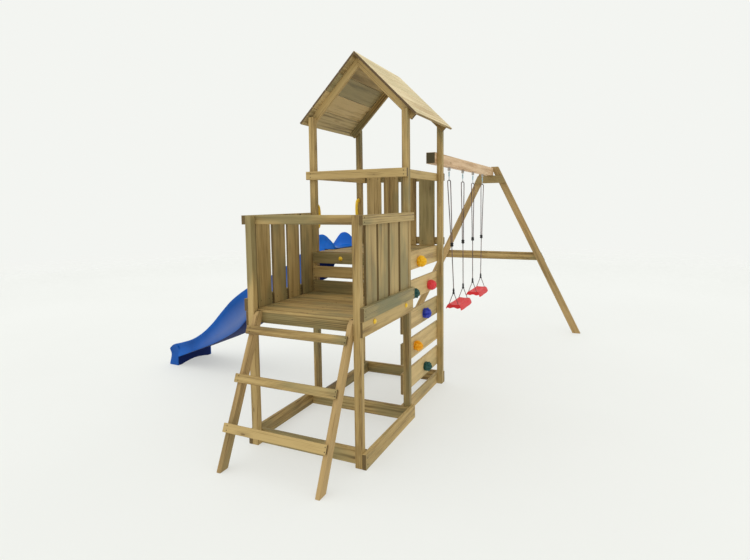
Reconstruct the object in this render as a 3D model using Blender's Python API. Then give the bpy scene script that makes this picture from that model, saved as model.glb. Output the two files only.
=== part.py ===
"""Timber play tower with a climbing wall, a ladder, a wavy slide and a double swing.

Units are metres, +Z is up and the ground is z = 0.  The tower is laid out in its own plan,
where X = 0 and X = WIDTH are the outer faces of the posts and Y runs from the ladder side to
the swing.  PLAN_X and PLAN_Y move that plan so that the part's origin is on the ground below
the middle of its bounding box.
"""
import math

import bmesh
import bpy
from mathutils import Matrix, Vector

# ---------------------------------------------------------------- driving dimensions
PLAN_X = 0.0285            # where the plan's origin lies in the part's frame
PLAN_Y = -2.1945
GAP = 0.0003               # left between pieces that touch
BITE = 0.001               # how far boards nailed into one panel reach into each other
ARRIS = 0.003              # planed timber has its corners broken by this much

WIDTH = 1.000              # across the outer faces of the posts
POST = 0.058               # square posts
RAIL = 0.033               # thickness of rails, joists and rafters
BOARD = 0.020              # thickness of slats, deck and roof boards
WALL_BOARD = 0.027         # thickness of the climbing wall's boards
MID_Y = 0.973              # front face of the middle posts
BACK_Y = 1.957             # front face of the back posts
MID_END = MID_Y + POST
BACK_END = BACK_Y + POST
INNER = WIDTH - POST       # inner face of the right-hand posts

LOW_DECK = 1.112           # tops of the two decks
HIGH_DECK = 1.498
BASE_RAIL = 0.118          # height of the rails on the ground
LOW_RAIL_TOP = 1.869
LOW_RAIL = 0.072
LOW_BOTTOM_RAIL = (1.105, 1.205)
LOW_SIDE_JOIST = (0.988, 1.106)
HIGH_RAIL_TOP = 2.2555
HIGH_RAIL = 0.077
JOIST = 0.085
TALL_POST = 2.765

SIDE_SLATS = ((0.113, 0.298), (0.334, 0.515), (0.556, 0.738), (0.782, 0.9645))
RISERS = ((1.1125, 1.227), (1.255, 1.362), (1.390, 1.490))
WALL_LEVELS = ((0.214, 0.408), (0.490, 0.684), (0.772, 0.953), (1.049, 1.230), (1.330, HIGH_DECK))
WALL_BASE = BASE_RAIL
# hold name, distance along the wall (Y), height, size factor, lobes, colour
HOLDS = (
    ("hold_green_low", 1.560, 0.311, 1.00, 5, "green"),
    ("hold_orange", 1.284, 0.594, 1.06, 6, "orange"),
    ("hold_blue", 1.541, 0.858, 1.02, 4, "blue"),
    ("hold_green_high", 1.215, 1.112, 0.98, 5, "green"),
    ("hold_red", 1.682, 1.122, 1.10, 3, "red"),
    ("hold_yellow", 1.384, 1.392, 1.10, 6, "yellow"),
)
HOLD_RADIUS = 0.054
HOLD_HEIGHT = 0.075
HOLD_SEAT = 0.050            # where a bolt's head rests, down in its hold
BOLT_RADIUS = 0.005

ROOF_APEX = 3.300
ROOF_RUN = 0.587           # half the roof's width; its slopes are at 45 degrees
ROOF_OVERHANG = 0.019
ROOF_GAP = 0.003
ROOF_JOINTS = (0.0, 0.230, 0.430, 0.630, ROOF_RUN * math.sqrt(2.0))
RAFTER_DEPTH = 0.065
RAFTER_RUN = 0.552

LADDER_LEAN = 0.4164       # how far a stringer moves back for each metre that it rises
LADDER_FOOT = -0.470
LADDER_SKEW = 0.0226         # how far its foot stands to the left for each metre of height
LADDER_TOP = LOW_DECK - 0.004
LADDER_SIDES = (("left", POST + 0.005), ("right", INNER - 0.038))
LADDER_DEPTH = 0.080       # across a stringer, square to its length
LADDER_THICK = 0.038
RUNG_ALONG = (0.318, 0.684, 1.056)
RUNG = (0.022, 0.066)
RUNG_ENDS = (0.046, 0.932)

BEAM_X = (0.844, INNER)
BEAM_Y = (1.905, 4.780)
BEAM_Z = (2.355, 2.470)
AXLE_X = 0.5 * (BEAM_X[0] + BEAM_X[1])
LEG_TOP = 2.490
LEG_FOOT_OFFSET = 1.343    # from the swing's middle plane to a leg's outer edge, on the ground
LEG_LEAN = 0.4918
LEG_WIDTH = 0.097
LEG_THICK = 0.045
GUSSET_Z = (2.240, BEAM_Z[0])
BRACE_Z = (1.062, 1.182)

PIVOT_Z = 2.325            # the swings' hinge line, just under the beam
PIN_RADIUS = 0.0045
HANGER_LUG_GAP = 0.030
ROPE = 0.0055              # rope radius
HOOK_Z = (2.196, PIVOT_Z)
ADJUSTER_Z = (1.425, 1.475)
CLIP_Z = (0.840, 0.912)
SEAT_TOP = 0.722
SEAT_X = AXLE_X + 0.010
SEAT_LENGTH = 0.505
SEAT_WIDTH = 0.208
SEAT_DEPTH = 0.068
STRAP_SPREAD = 0.062
# swing name: Y of the two hangers, Y of the two clips above the seat
SWINGS = {
    "swing_near": ((2.572, 3.170), (2.770, 3.210)),
    "swing_far": ((3.690, 4.250), (3.710, 4.190)),
}

SLIDE_FOOT = (-2.140, 1.572)           # middle of the slide's foot, in plan
SLIDE_SKEW = math.radians(2.9)
SLIDE_START = -2.268                   # distances along the slide are 0 at the foot
SLIDE_END = 0.138
SLIDE_HALF_WIDTH = (0.243, 0.275)
# Heights of the floor, of the side walls' rims and of their skirts' lower edges, by distance.
SLIDE_FLOOR = ((-2.268, 1.506), (-2.120, 1.508), (-2.000, 1.452), (-1.865, 1.362), (-1.671, 1.209),
               (-1.477, 1.073), (-1.285, 0.909), (-1.095, 0.689), (-0.981, 0.574), (-0.868, 0.501),
               (-0.615, 0.371), (-0.218, 0.210), (0.002, 0.125), (0.138, 0.083))
SLIDE_RIM = ((-2.268, 1.514), (-2.243, 1.560), (-2.190, 1.609), (-2.165, 1.630), (-2.120, 1.646),
             (-2.080, 1.640), (-2.039, 1.604), (-1.972, 1.522), (-1.875, 1.456), (-1.690, 1.320),
             (-1.477, 1.202), (-1.148, 1.046), (-0.892, 0.881), (-0.732, 0.734), (-0.567, 0.572),
             (-0.399, 0.440), (-0.228, 0.348), (-0.055, 0.291), (0.087, 0.249), (0.138, 0.209))
SLIDE_SKIRT = ((-2.120, 1.480), (-2.020, 1.400), (-1.960, 1.262), (-1.900, 1.140), (-1.700, 1.062),
               (-1.477, 1.000), (-1.285, 0.882), (-1.095, 0.668), (-0.981, 0.554))
SLIDE_ON_DECK = -2.160                 # from here back, its underside rests on the high deck

COLOURS = {
    "timber": (0.50, 0.36, 0.17), "timber_pale": (0.62, 0.48, 0.28),
    "yellow": (0.86, 0.58, 0.02), "orange": (0.85, 0.42, 0.02), "red": (0.72, 0.04, 0.05),
    "green": (0.01, 0.09, 0.06), "blue": (0.02, 0.06, 0.35), "slide_blue": (0.01, 0.07, 0.36),
    "rope": (0.26, 0.22, 0.20), "black": (0.02, 0.02, 0.02), "steel": (0.55, 0.56, 0.57),
}
METALS = ("steel",)


# ---------------------------------------------------------------- scene and materials
def clear_scene():
    for obj in list(bpy.data.objects):
        bpy.data.objects.remove(obj, do_unlink=True)


def material(name):
    found = bpy.data.materials.get(name)
    if found:
        return found
    mat = bpy.data.materials.new(name)
    mat.use_nodes = True
    shader = mat.node_tree.nodes["Principled BSDF"]
    shader.inputs["Base Color"].default_value = (*COLOURS[name], 1.0)
    shader.inputs["Roughness"].default_value = 0.75 if name.startswith("timber") else 0.35
    shader.inputs["Metallic"].default_value = 1.0 if name in METALS else 0.0
    mat.diffuse_color = (*COLOURS[name], 1.0)
    return mat


def add_object(name, mesh, colour, parent, smooth=False):
    """Link a mesh, given in plan coordinates, and hang it on the plan's or a pivot's empty."""
    mesh.materials.append(material(colour))
    if smooth:
        mesh.shade_smooth()
        mesh.set_sharp_from_angle(angle=math.radians(35.0))
    obj = bpy.data.objects.new(name, mesh)
    bpy.context.scene.collection.objects.link(obj)
    obj.parent = parent
    if parent.parent:
        mesh.transform(Matrix.Translation(-parent.location))
    return obj


def add_empty(name, location, parent=None):
    obj = bpy.data.objects.new(name, None)
    obj.empty_display_size = 0.15
    obj.location = location
    obj.parent = parent
    bpy.context.scene.collection.objects.link(obj)
    return obj


def chamfer(obj, width=ARRIS, segments=1):
    mod = obj.modifiers.new("arris", "BEVEL")
    mod.width = width
    mod.segments = segments
    mod.limit_method = "ANGLE"
    mod.angle_limit = math.radians(30.0)


# ---------------------------------------------------------------- mesh helpers
def new_mesh(name, bm):
    bmesh.ops.recalc_face_normals(bm, faces=bm.faces)
    mesh = bpy.data.meshes.new(name)
    bm.to_mesh(mesh)
    bm.free()
    return mesh


def add_prism(bm, outline, start, end, place):
    """Extrude an outline of (a, b) pairs; place(a, b, c) says where a point lies."""
    rings = [[bm.verts.new(place(a, b, c)) for a, b in outline] for c in (start, end)]
    bm.faces.new(rings[0])
    bm.faces.new(reversed(rings[1]))
    count = len(outline)
    for i in range(count):
        j = (i + 1) % count
        bm.faces.new((rings[0][i], rings[1][i], rings[1][j], rings[0][j]))


def add_box(bm, xs, ys, zs):
    """A box between two faces on each axis, short of each by half the touching gap."""
    half = 0.5 * GAP
    low_z = zs[0] if zs[0] == 0.0 else zs[0] + half
    outline = ((xs[0] + half, ys[0] + half), (xs[1] - half, ys[0] + half),
               (xs[1] - half, ys[1] - half), (xs[0] + half, ys[1] - half))
    add_prism(bm, outline, low_z, zs[1] - half, lambda a, b, c: (a, b, c))


def timber(name, xs, ys, zs, parent, colour="timber"):
    """A single board or post."""
    bm = bmesh.new()
    add_box(bm, xs, ys, zs)
    obj = add_object(name, new_mesh(name, bm), colour, parent)
    chamfer(obj)
    return obj


def modify(obj, operation, name, mesh, parent):
    """Join a mesh to an object, or cut it away, with a hidden helper object."""
    helper = add_object(name, mesh, "black", parent)
    helper.hide_render = True
    helper.display_type = "WIRE"
    boolean = obj.modifiers.new(name, "BOOLEAN")
    boolean.operation = operation
    boolean.solver = "EXACT"
    boolean.object = helper


def panel(name, layers, parent, colour="timber"):
    """Boards nailed into one panel.  Boards of one layer are apart and bite into the other layers."""
    meshes = []
    for boxes in layers:
        bm = bmesh.new()
        for xs, ys, zs in boxes:
            add_box(bm, xs, ys, zs)
        meshes.append(new_mesh(name, bm))
    obj = add_object(name, meshes[0], colour, parent)
    for k, mesh in enumerate(meshes[1:], start=2):
        modify(obj, "UNION", f"{name}_layer_{k}", mesh, parent)
    return obj


def longer(span, first=BITE, last=BITE):
    """A span that reaches into its neighbours."""
    return (span[0] - first, span[1] + last)


def add_turned(bm, profile, segments, place, lobe=None):
    """Turn a closed profile of (radius, height) pairs into a ring-shaped solid."""
    rings = []
    for k in range(segments):
        angle = 2.0 * math.pi * k / segments
        ring = []
        for radius, height in profile:
            r, h = lobe(radius, height, angle) if lobe else (radius, height)
            ring.append(bm.verts.new(place(r * math.cos(angle), r * math.sin(angle), h)))
        rings.append(ring)
    count = len(profile)
    for k in range(segments):
        ring, following = rings[k], rings[(k + 1) % segments]
        for i in range(count):
            j = (i + 1) % count
            bm.faces.new((ring[i], following[i], following[j], ring[j]))


def add_disc(bm, profile, segments, place):
    """Turn an open profile of (radius, height) pairs, closed with a flat face at each end."""
    rings = []
    for radius, height in profile:
        rings.append([bm.verts.new(place(radius * math.cos(2.0 * math.pi * k / segments),
                                         radius * math.sin(2.0 * math.pi * k / segments), height))
                      for k in range(segments)])
    for ring, following in zip(rings, rings[1:]):
        for k in range(segments):
            j = (k + 1) % segments
            bm.faces.new((ring[k], ring[j], following[j], following[k]))
    bm.faces.new(list(reversed(rings[0])))
    bm.faces.new(rings[-1])


def add_tube(bm, points, radius, sides=8):
    """Sweep a circle along points, turning it as little as possible from one to the next."""
    points = [Vector(p) for p in points]
    tangents = []
    for i in range(len(points)):
        before = points[max(i - 1, 0)]
        after = points[min(i + 1, len(points) - 1)]
        tangents.append((after - before).normalized())
    normal = tangents[0].orthogonal().normalized()
    rings = []
    for point, tangent in zip(points, tangents):
        normal = (normal - tangent * normal.dot(tangent)).normalized()
        side = tangent.cross(normal)
        rings.append([bm.verts.new(point + radius * (math.cos(a) * normal + math.sin(a) * side))
                      for a in (2.0 * math.pi * k / sides for k in range(sides))])
    for ring, following in zip(rings, rings[1:]):
        for k in range(sides):
            j = (k + 1) % sides
            bm.faces.new((ring[k], ring[j], following[j], following[k]))
    bm.faces.new(list(reversed(rings[0])))
    bm.faces.new(rings[-1])


def smooth_value(table, x):
    """Read a height from (x, height) pairs along a smooth curve that never overshoots."""
    if x <= table[0][0]:
        return table[0][1]
    if x >= table[-1][0]:
        return table[-1][1]
    slopes = [(b[1] - a[1]) / (b[0] - a[0]) for a, b in zip(table, table[1:])]
    i = next(k for k in range(len(slopes)) if table[k][0] <= x <= table[k + 1][0])

    def tangent(k):
        if k == 0:
            return slopes[0]
        if k == len(slopes):
            return slopes[-1]
        if slopes[k - 1] * slopes[k] <= 0.0:
            return 0.0
        return 2.0 * slopes[k - 1] * slopes[k] / (slopes[k - 1] + slopes[k])

    width = table[i + 1][0] - table[i][0]
    t = (x - table[i][0]) / width
    return ((2 * t**3 - 3 * t**2 + 1) * table[i][1] + (t**3 - 2 * t**2 + t) * width * tangent(i)
            + (3 * t**2 - 2 * t**3) * table[i + 1][1] + (t**3 - t**2) * width * tangent(i + 1))


def spread(first, last, count, gap):
    """Split a length into equal boards with a gap between neighbours."""
    size = (last - first - gap * (count - 1)) / count
    return [(first + i * (size + gap), first + i * (size + gap) + size) for i in range(count)]


# ---------------------------------------------------------------- frame
def build_posts(plan):
    rows = (("front", 0.0, LOW_RAIL_TOP), ("mid", MID_Y, TALL_POST), ("back", BACK_Y, TALL_POST))
    for row, y, top in rows:
        for side, xs in (("left", (0.0, POST)), ("right", (INNER, WIDTH))):
            timber(f"post_{row}_{side}", xs, (y, y + POST), (0.0, top), plan)


def build_base(plan):
    """The rails on the ground, one closed frame around the feet of the posts."""
    height = (0.0, BASE_RAIL)
    cross = [(longer((0.0, WIDTH)), (y, y + RAIL), height) for y in (POST, MID_Y - RAIL, BACK_END)]
    sides = [
        ((-RAIL, 0.0), (0.0, MID_END), height),
        ((WIDTH, WIDTH + RAIL), (0.0, MID_END), height),
        ((POST, POST + RAIL), longer((MID_Y, BACK_END)), height),
    ]
    panel("base_frame", (cross, sides), plan)


def deck(name, xs, ys, count, cross, bearers_x, top, plan):
    """Deck boards across two joists, with bearers between the joists."""
    frame_z = (top - BOARD - JOIST, top - BOARD + BITE)
    boards = [(xs, span, (top - BOARD, top)) for span in spread(*ys, count, 0.006)]
    joist_x, joists_y = cross
    joists = [(joist_x, (y, y + RAIL), frame_z) for y in joists_y]
    between = longer((joists_y[0] + RAIL, joists_y[1]))
    bearers = [((x, x + RAIL), between, frame_z) for x in bearers_x]
    panel(name, (boards, joists, bearers), plan)


def build_low_platform(plan):
    bearers = (POST, 0.5 * (WIDTH - RAIL), INNER - RAIL)
    deck("low_deck", (BOARD, WIDTH - BOARD), (POST, MID_Y), 6, ((0.0, WIDTH), (POST, MID_Y - RAIL)),
         bearers, LOW_DECK, plan)
    for k, zs in enumerate(RISERS, start=1):
        timber(f"riser_board_{k}", (0.030, WIDTH - 0.030), (MID_Y - WALL_BOARD, MID_Y), zs, plan)
    top_z = (LOW_RAIL_TOP - LOW_RAIL, LOW_RAIL_TOP)
    timber("low_front_rail", (BOARD, WIDTH - BOARD), (POST, POST + RAIL), top_z, plan)
    along = (0.0, MID_END)
    for side, wall, out in (("left", 0.0, -1.0), ("right", WIDTH, 1.0)):
        def across(inner, outer, wall=wall, out=out):
            return tuple(sorted((wall + out * inner, wall + out * outer)))
        rails = [(across(0.0, RAIL), along, LOW_BOTTOM_RAIL), (across(0.0, RAIL), along, top_z)]
        slats = [(across(-BOARD, BITE), ys, (LOW_DECK, LOW_RAIL_TOP - 0.004)) for ys in SIDE_SLATS]
        joist = [(across(0.0, BOARD), along, LOW_SIDE_JOIST)]
        panel(f"low_side_panel_{side}", (rails, slats, joist), plan)


def build_high_platform(plan):
    right = INNER - WALL_BOARD
    # The last bearer stands off the wall's boards, clear of the T-nuts on their backs.
    bearers = (POST, 0.5 * (right - RAIL), right - RAIL - 0.015)
    deck("high_deck", (POST, right), (MID_Y, BACK_END), 7, ((0.0, right), (MID_END, BACK_Y - RAIL)),
         bearers, HIGH_DECK, plan)
    top_z = (HIGH_RAIL_TOP - HIGH_RAIL, HIGH_RAIL_TOP)
    front = [((-0.020, WIDTH), (MID_Y - RAIL, MID_Y), top_z)]
    sides = [((x, x + RAIL), longer((MID_Y, BACK_END), BITE, 0.0), top_z) for x in (POST, INNER - RAIL)]
    panel("high_rails", (front, sides), plan)
    bottom_z = (HIGH_DECK + 0.008, HIGH_DECK + 0.008 + HIGH_RAIL)
    rails = [((0.0, WIDTH), (BACK_END, BACK_END + RAIL), zs) for zs in (top_z, bottom_z)]
    slats = [(xs, (BACK_END - BOARD, BACK_END + BITE), (HIGH_DECK, HIGH_RAIL_TOP - 0.004))
             for xs in spread(0.112, 0.902, 4, 0.034)]
    panel("back_panel", (rails, slats), plan)


def build_roof(plan):
    """Two slopes that meet at the ridge, each of four boards on a pair of rafters."""
    middle = 0.5 * WIDTH
    root2 = math.sqrt(2.0)
    ys = (MID_Y - ROOF_OVERHANG, BACK_END + ROOF_OVERHANG)
    drop = BOARD * root2
    top_line = ROOF_APEX - drop + BITE
    across = RAFTER_DEPTH / root2
    rafter = ((GAP, top_line - GAP), (RAFTER_RUN, top_line - RAFTER_RUN),
              (RAFTER_RUN - across, top_line - RAFTER_RUN - across), (GAP, top_line - RAFTER_DEPTH * root2))
    for side, sign in (("left", -1.0), ("right", 1.0)):
        def place(a, b, c, sign=sign):
            return (middle + sign * a, c, b)

        boards = bmesh.new()
        for i, (start, end) in enumerate(zip(ROOF_JOINTS, ROOF_JOINTS[1:])):
            # The top board's ridge edge is upright, all other edges are square to the slope.
            upper = (start + (GAP if i == 0 else 0.5 * ROOF_GAP)) / root2
            upper_under = upper if i == 0 else upper - BOARD / root2
            lower = (end - 0.5 * ROOF_GAP) / root2
            lower_under = lower - BOARD / root2
            outline = ((upper, ROOF_APEX - upper), (lower, ROOF_APEX - lower),
                       (lower_under, ROOF_APEX - lower_under - drop),
                       (upper_under, ROOF_APEX - upper_under - drop))
            add_prism(boards, outline, ys[0], ys[1], place)
        obj = add_object(f"roof_{side}", new_mesh("roof", boards), "timber_pale", plan)
        rafters = bmesh.new()
        for y in (MID_END, BACK_Y - RAIL):
            add_prism(rafters, rafter, y + 0.5 * GAP, y + RAIL - 0.5 * GAP, place)
        modify(obj, "UNION", f"roof_{side}_rafters", new_mesh("rafters", rafters), plan)


# ---------------------------------------------------------------- climbing wall
def build_wall(plan):
    """Boards across the posts, drilled through for the bolts of their holds."""
    xs = (INNER - WALL_BOARD, INNER)
    ys = (MID_Y, BACK_END)
    timber("wall_base_board", xs, ys, (0.0, WALL_BASE), plan, "timber_pale")
    for k, zs in enumerate(WALL_LEVELS, start=1):
        name = f"wall_board_{k}"
        board = timber(name, xs, ys, zs, plan, "timber_pale")
        drills = bmesh.new()
        drilled = [(y, z) for _, y, z, _, _, _ in HOLDS if zs[0] < z < zs[1]]
        for y, z in drilled:
            def place(a, b, c, y=y, z=z):
                return (xs[0] + c, y + a, z + b)
            add_disc(drills, ((0.0068, -0.01), (0.0068, WALL_BOARD + 0.01)), 12, place)
        if drilled:
            modify(board, "DIFFERENCE", f"{name}_drills", new_mesh("drills", drills), plan)

    for name, y, z, size, lobes, colour in HOLDS:
        def place(a, b, c, y=y, z=z):
            return (INNER + c, y + a, z + b)

        radius = HOLD_RADIUS * size
        height = HOLD_HEIGHT * size
        profile = ((0.0062, GAP), (radius * 0.94, GAP), (radius, 0.007), (radius * 0.99, height * 0.40),
                   (radius * 0.86, height * 0.72), (radius * 0.52, height * 0.98), (0.0130, height * 0.98),
                   (0.0100, height * 0.88), (0.0100, HOLD_SEAT), (0.0062, HOLD_SEAT))

        def lobed(r, h, angle, radius=radius, lobes=lobes, size=size):
            share = max(0.0, (r - 0.25 * radius) / radius)
            return r * (1.0 + share * 0.11 * math.cos(lobes * angle + 6.0 * size)), h

        bm = bmesh.new()
        add_turned(bm, profile, 24, place, lobed)
        add_object(name, new_mesh(name, bm), colour, plan, smooth=True)

        # The bolt, its head down in the hold, and the T-nut that it pulls against the board's back.
        head = HOLD_SEAT + GAP
        flange = -WALL_BOARD - GAP
        bm = bmesh.new()
        add_disc(bm, ((BOLT_RADIUS, flange - 0.006), (BOLT_RADIUS, flange - 0.002), (0.0130, flange - 0.002),
                      (0.0130, flange), (BOLT_RADIUS, flange), (BOLT_RADIUS, head), (0.0085, head),
                      (0.0085, head + 0.009), (0.0070, head + 0.010)), 12, place)
        add_object(name.replace("hold", "bolt"), new_mesh("bolt", bm), "steel", plan, smooth=True)


# ---------------------------------------------------------------- ladder, slide and handles
def build_ladder(plan):
    lean = math.atan(LADDER_LEAN)
    foot_width = LADDER_DEPTH / math.cos(lean)
    back = POST - 0.5 * GAP
    back_low = (back - (LADDER_FOOT + foot_width)) / LADDER_LEAN

    def front(z):
        return LADDER_FOOT + LADDER_LEAN * z

    def aside(z):
        return LADDER_SKEW * (LADDER_TOP - z)

    outline = ((front(0.0), 0.0), (front(0.0) + foot_width, 0.0), (back, back_low), (back, LADDER_TOP),
               (front(LADDER_TOP) + 0.028, LADDER_TOP), (front(LADDER_TOP - 0.03) + 0.004, LADDER_TOP - 0.03))
    for side, x in LADDER_SIDES:
        bm = bmesh.new()
        add_prism(bm, outline, x + GAP, x + LADDER_THICK - GAP, lambda a, b, c: (c - aside(b), a, b))
        chamfer(add_object(f"ladder_stringer_{side}", new_mesh("stringer", bm), "timber", plan))

    up = Vector((0.0, math.sin(lean), math.cos(lean)))
    out = Vector((0.0, -math.cos(lean), math.sin(lean)))
    base = Vector((0.0, LADDER_FOOT, 0.0))
    thick, width = RUNG
    outline = ((GAP, -0.5 * width), (thick, -0.5 * width), (thick, 0.5 * width), (GAP, 0.5 * width))
    for k, along in enumerate(RUNG_ALONG, start=1):
        shift = aside(along * math.cos(lean))

        def place(a, b, c, along=along, shift=shift):
            return base + up * (along + b) + out * a + Vector((c - shift, 0.0, 0.0))
        bm = bmesh.new()
        add_prism(bm, outline, RUNG_ENDS[0], RUNG_ENDS[1], place)
        chamfer(add_object(f"ladder_rung_{k}", new_mesh("rung", bm), "timber", plan))


def slide_section(s):
    """The slide's outline across its length at distance s, as (across, height) pairs."""
    share = (s - SLIDE_START) / (SLIDE_END - SLIDE_START)
    half = SLIDE_HALF_WIDTH[0] + (SLIDE_HALF_WIDTH[1] - SLIDE_HALF_WIDTH[0]) * share
    floor = smooth_value(SLIDE_FLOOR, s)
    rim = max(smooth_value(SLIDE_RIM, s), floor + 0.006)
    wall = rim - floor
    under = floor - 0.018
    skirt = under
    if s < SLIDE_ON_DECK:
        under = skirt = HIGH_DECK + GAP
    elif s < SLIDE_SKIRT[-1][0]:
        skirt = min(under, smooth_value(SLIDE_SKIRT, s))
    arch = under
    if s > -0.001:
        under, arch, skirt = 0.0, 0.030, 0.0
    elif s > -0.024:
        under, arch, skirt = floor - 0.020, floor - 0.020, floor - 0.022
    right = (
        (half * 0.55, arch), (half - 0.055, under), (half - 0.024, skirt), (half - 0.004, skirt),
        (half, skirt + 0.004), (half - 0.004, floor + 0.45 * wall), (half - 0.010, floor + 0.82 * wall),
        (half - 0.020, rim), (half - 0.034, rim - 0.02 * wall), (half - 0.043, floor + 0.78 * wall),
        (half - 0.052, floor + 0.30 * wall), (half - 0.080, floor + min(0.006, 0.2 * wall)),
        (half * 0.45, floor),
    )
    left = tuple((-a, b) for a, b in reversed(right))
    return right + left


def build_slide(plan):
    along = Vector((-math.cos(SLIDE_SKEW), math.sin(SLIDE_SKEW), 0.0))
    across = Vector((math.sin(SLIDE_SKEW), math.cos(SLIDE_SKEW), 0.0))
    foot = Vector((SLIDE_FOOT[0], SLIDE_FOOT[1], 0.0))
    steps = 46    # along the whole slide
    stations = [SLIDE_START + (SLIDE_END - SLIDE_START) * k / steps for k in range(steps + 1)]
    # Closer stations where the underside steps: at the ends, at the deck's edge and at the foot.
    stations = [s for s in stations if not -0.034 < s < 0.020]
    stations += [SLIDE_START + 0.010, SLIDE_ON_DECK - 0.001, SLIDE_ON_DECK + 0.001, -0.034, -0.001, 0.0,
                 SLIDE_END - 0.006]
    stations.sort()
    bm = bmesh.new()
    rings = []
    for s in stations:
        rings.append([bm.verts.new(foot + along * s + across * a + Vector((0.0, 0.0, b)))
                      for a, b in slide_section(s)])
    count = len(rings[0])
    for ring, following in zip(rings, rings[1:]):
        for i in range(count):
            j = (i + 1) % count
            bm.faces.new((ring[i], ring[j], following[j], following[i]))
    bm.faces.new(rings[0])
    bm.faces.new(list(reversed(rings[-1])))
    bmesh.ops.triangulate(bm, faces=[f for f in bm.faces if len(f.verts) > 4])
    add_object("slide", new_mesh("slide", bm), "slide_blue", plan, smooth=True)


def build_handles(plan):
    """Two bowed grab handles that face each other across the slide's opening."""
    bow, thick, pad, half = 0.074, 0.020, 0.046, 0.130
    steps = 10
    reach = half - pad
    for name, face_y, sign, middle in (("front", MID_END, 1.0, 1.830), ("back", BACK_Y, -1.0, 1.882)):
        low, high = middle - half, middle + half
        outline = [(GAP, high), (0.012, high - 0.004)]
        outline += [(0.012 + (bow - 0.012) * math.sin(math.pi * k / steps) ** 0.75,
                     middle + (reach + 0.020) * math.cos(math.pi * k / steps)) for k in range(1, steps)]
        outline += [(0.012, low + 0.004), (GAP, low), (GAP, low + pad)]
        outline += [((bow - thick) * math.sin(math.pi * k / steps) ** 0.75,
                     middle + reach * math.cos(math.pi * k / steps)) for k in range(steps - 1, 0, -1)]
        outline += [(GAP, high - pad)]
        bm = bmesh.new()
        add_prism(bm, outline, 0.5 * POST - 0.015, 0.5 * POST + 0.015,
                  lambda a, b, c, y=face_y, s=sign: (c, y + s * a, b))
        chamfer(add_object(f"grab_handle_{name}", new_mesh("handle", bm), "yellow", plan, smooth=True), 0.005)


# ---------------------------------------------------------------- swing
def build_swing_frame(plan):
    timber("swing_beam", BEAM_X, BEAM_Y, BEAM_Z, plan, "timber_pale")
    leg_y = (BEAM_Y[1], BEAM_Y[1] + LEG_THICK)
    across = LEG_WIDTH * math.sqrt(1.0 + LEG_LEAN ** 2)

    def outer(z):
        return LEG_FOOT_OFFSET - LEG_LEAN * z

    leg = ((outer(0.0), 0.0), (outer(LEG_TOP), LEG_TOP), (outer(LEG_TOP) - across, LEG_TOP),
           (outer(0.0) - across, 0.0))
    for side, sign in (("left", -1.0), ("right", 1.0)):
        bm = bmesh.new()
        add_prism(bm, leg, leg_y[0] + 0.5 * GAP, leg_y[1] - 0.5 * GAP,
                  lambda a, b, c, s=sign: (AXLE_X + s * a, c, b))
        chamfer(add_object(f"a_frame_leg_{side}", new_mesh("leg", bm), "timber", plan))

    for name, (low, high), ys in (("a_frame_gusset", GUSSET_Z, (leg_y[0] - RAIL, leg_y[0])),
                                  ("a_frame_brace", BRACE_Z, (leg_y[1], leg_y[1] + RAIL))):
        low, high = low + 0.5 * GAP, high - 0.5 * GAP
        outline = ((-outer(low), low), (outer(low), low), (outer(high), high), (-outer(high), high))
        bm = bmesh.new()
        add_prism(bm, outline, ys[0] + 0.5 * GAP, ys[1] - 0.5 * GAP, lambda a, b, c: (AXLE_X + a, c, b))
        chamfer(add_object(name, new_mesh(name, bm), "timber", plan))


def build_hangers(plan):
    """Under the beam, a plate with two lugs and a pin for each rope."""
    top = BEAM_Z[0] - GAP
    half = 0.5 * HANGER_LUG_GAP
    thick = 0.004
    outline = ((-half - thick, PIVOT_Z - 0.010), (-half, PIVOT_Z - 0.010), (-half, top - thick),
               (half, top - thick), (half, PIVOT_Z - 0.010), (half + thick, PIVOT_Z - 0.010),
               (half + thick, top), (-half - thick, top))
    for name, (tops, _) in SWINGS.items():
        for side, y in zip(("near", "far"), tops):
            bm = bmesh.new()
            add_prism(bm, outline, AXLE_X - 0.012, AXLE_X + 0.012, lambda a, b, c, y=y: (c, y + a, b))
            obj = add_object(f"{name}_hanger_{side}", new_mesh("hanger", bm), "steel", plan)
            pin = bmesh.new()
            reach = half + 0.5 * thick
            add_disc(pin, ((PIN_RADIUS, -reach), (PIN_RADIUS, reach)), 12,
                     lambda a, b, c, y=y: (AXLE_X + a, y + c, PIVOT_Z + b))
            modify(obj, "UNION", f"{name}_pin_{side}", new_mesh("pin", pin), plan)


def strap(clip_y, sign):
    """The ends of one of the two straps that spread from a clip to the seat's edges."""
    return (Vector((AXLE_X + sign * 0.0065, clip_y, CLIP_Z[0] + 0.005)),
            Vector((AXLE_X + sign * STRAP_SPREAD, clip_y, SEAT_TOP - 0.022)))


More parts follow.
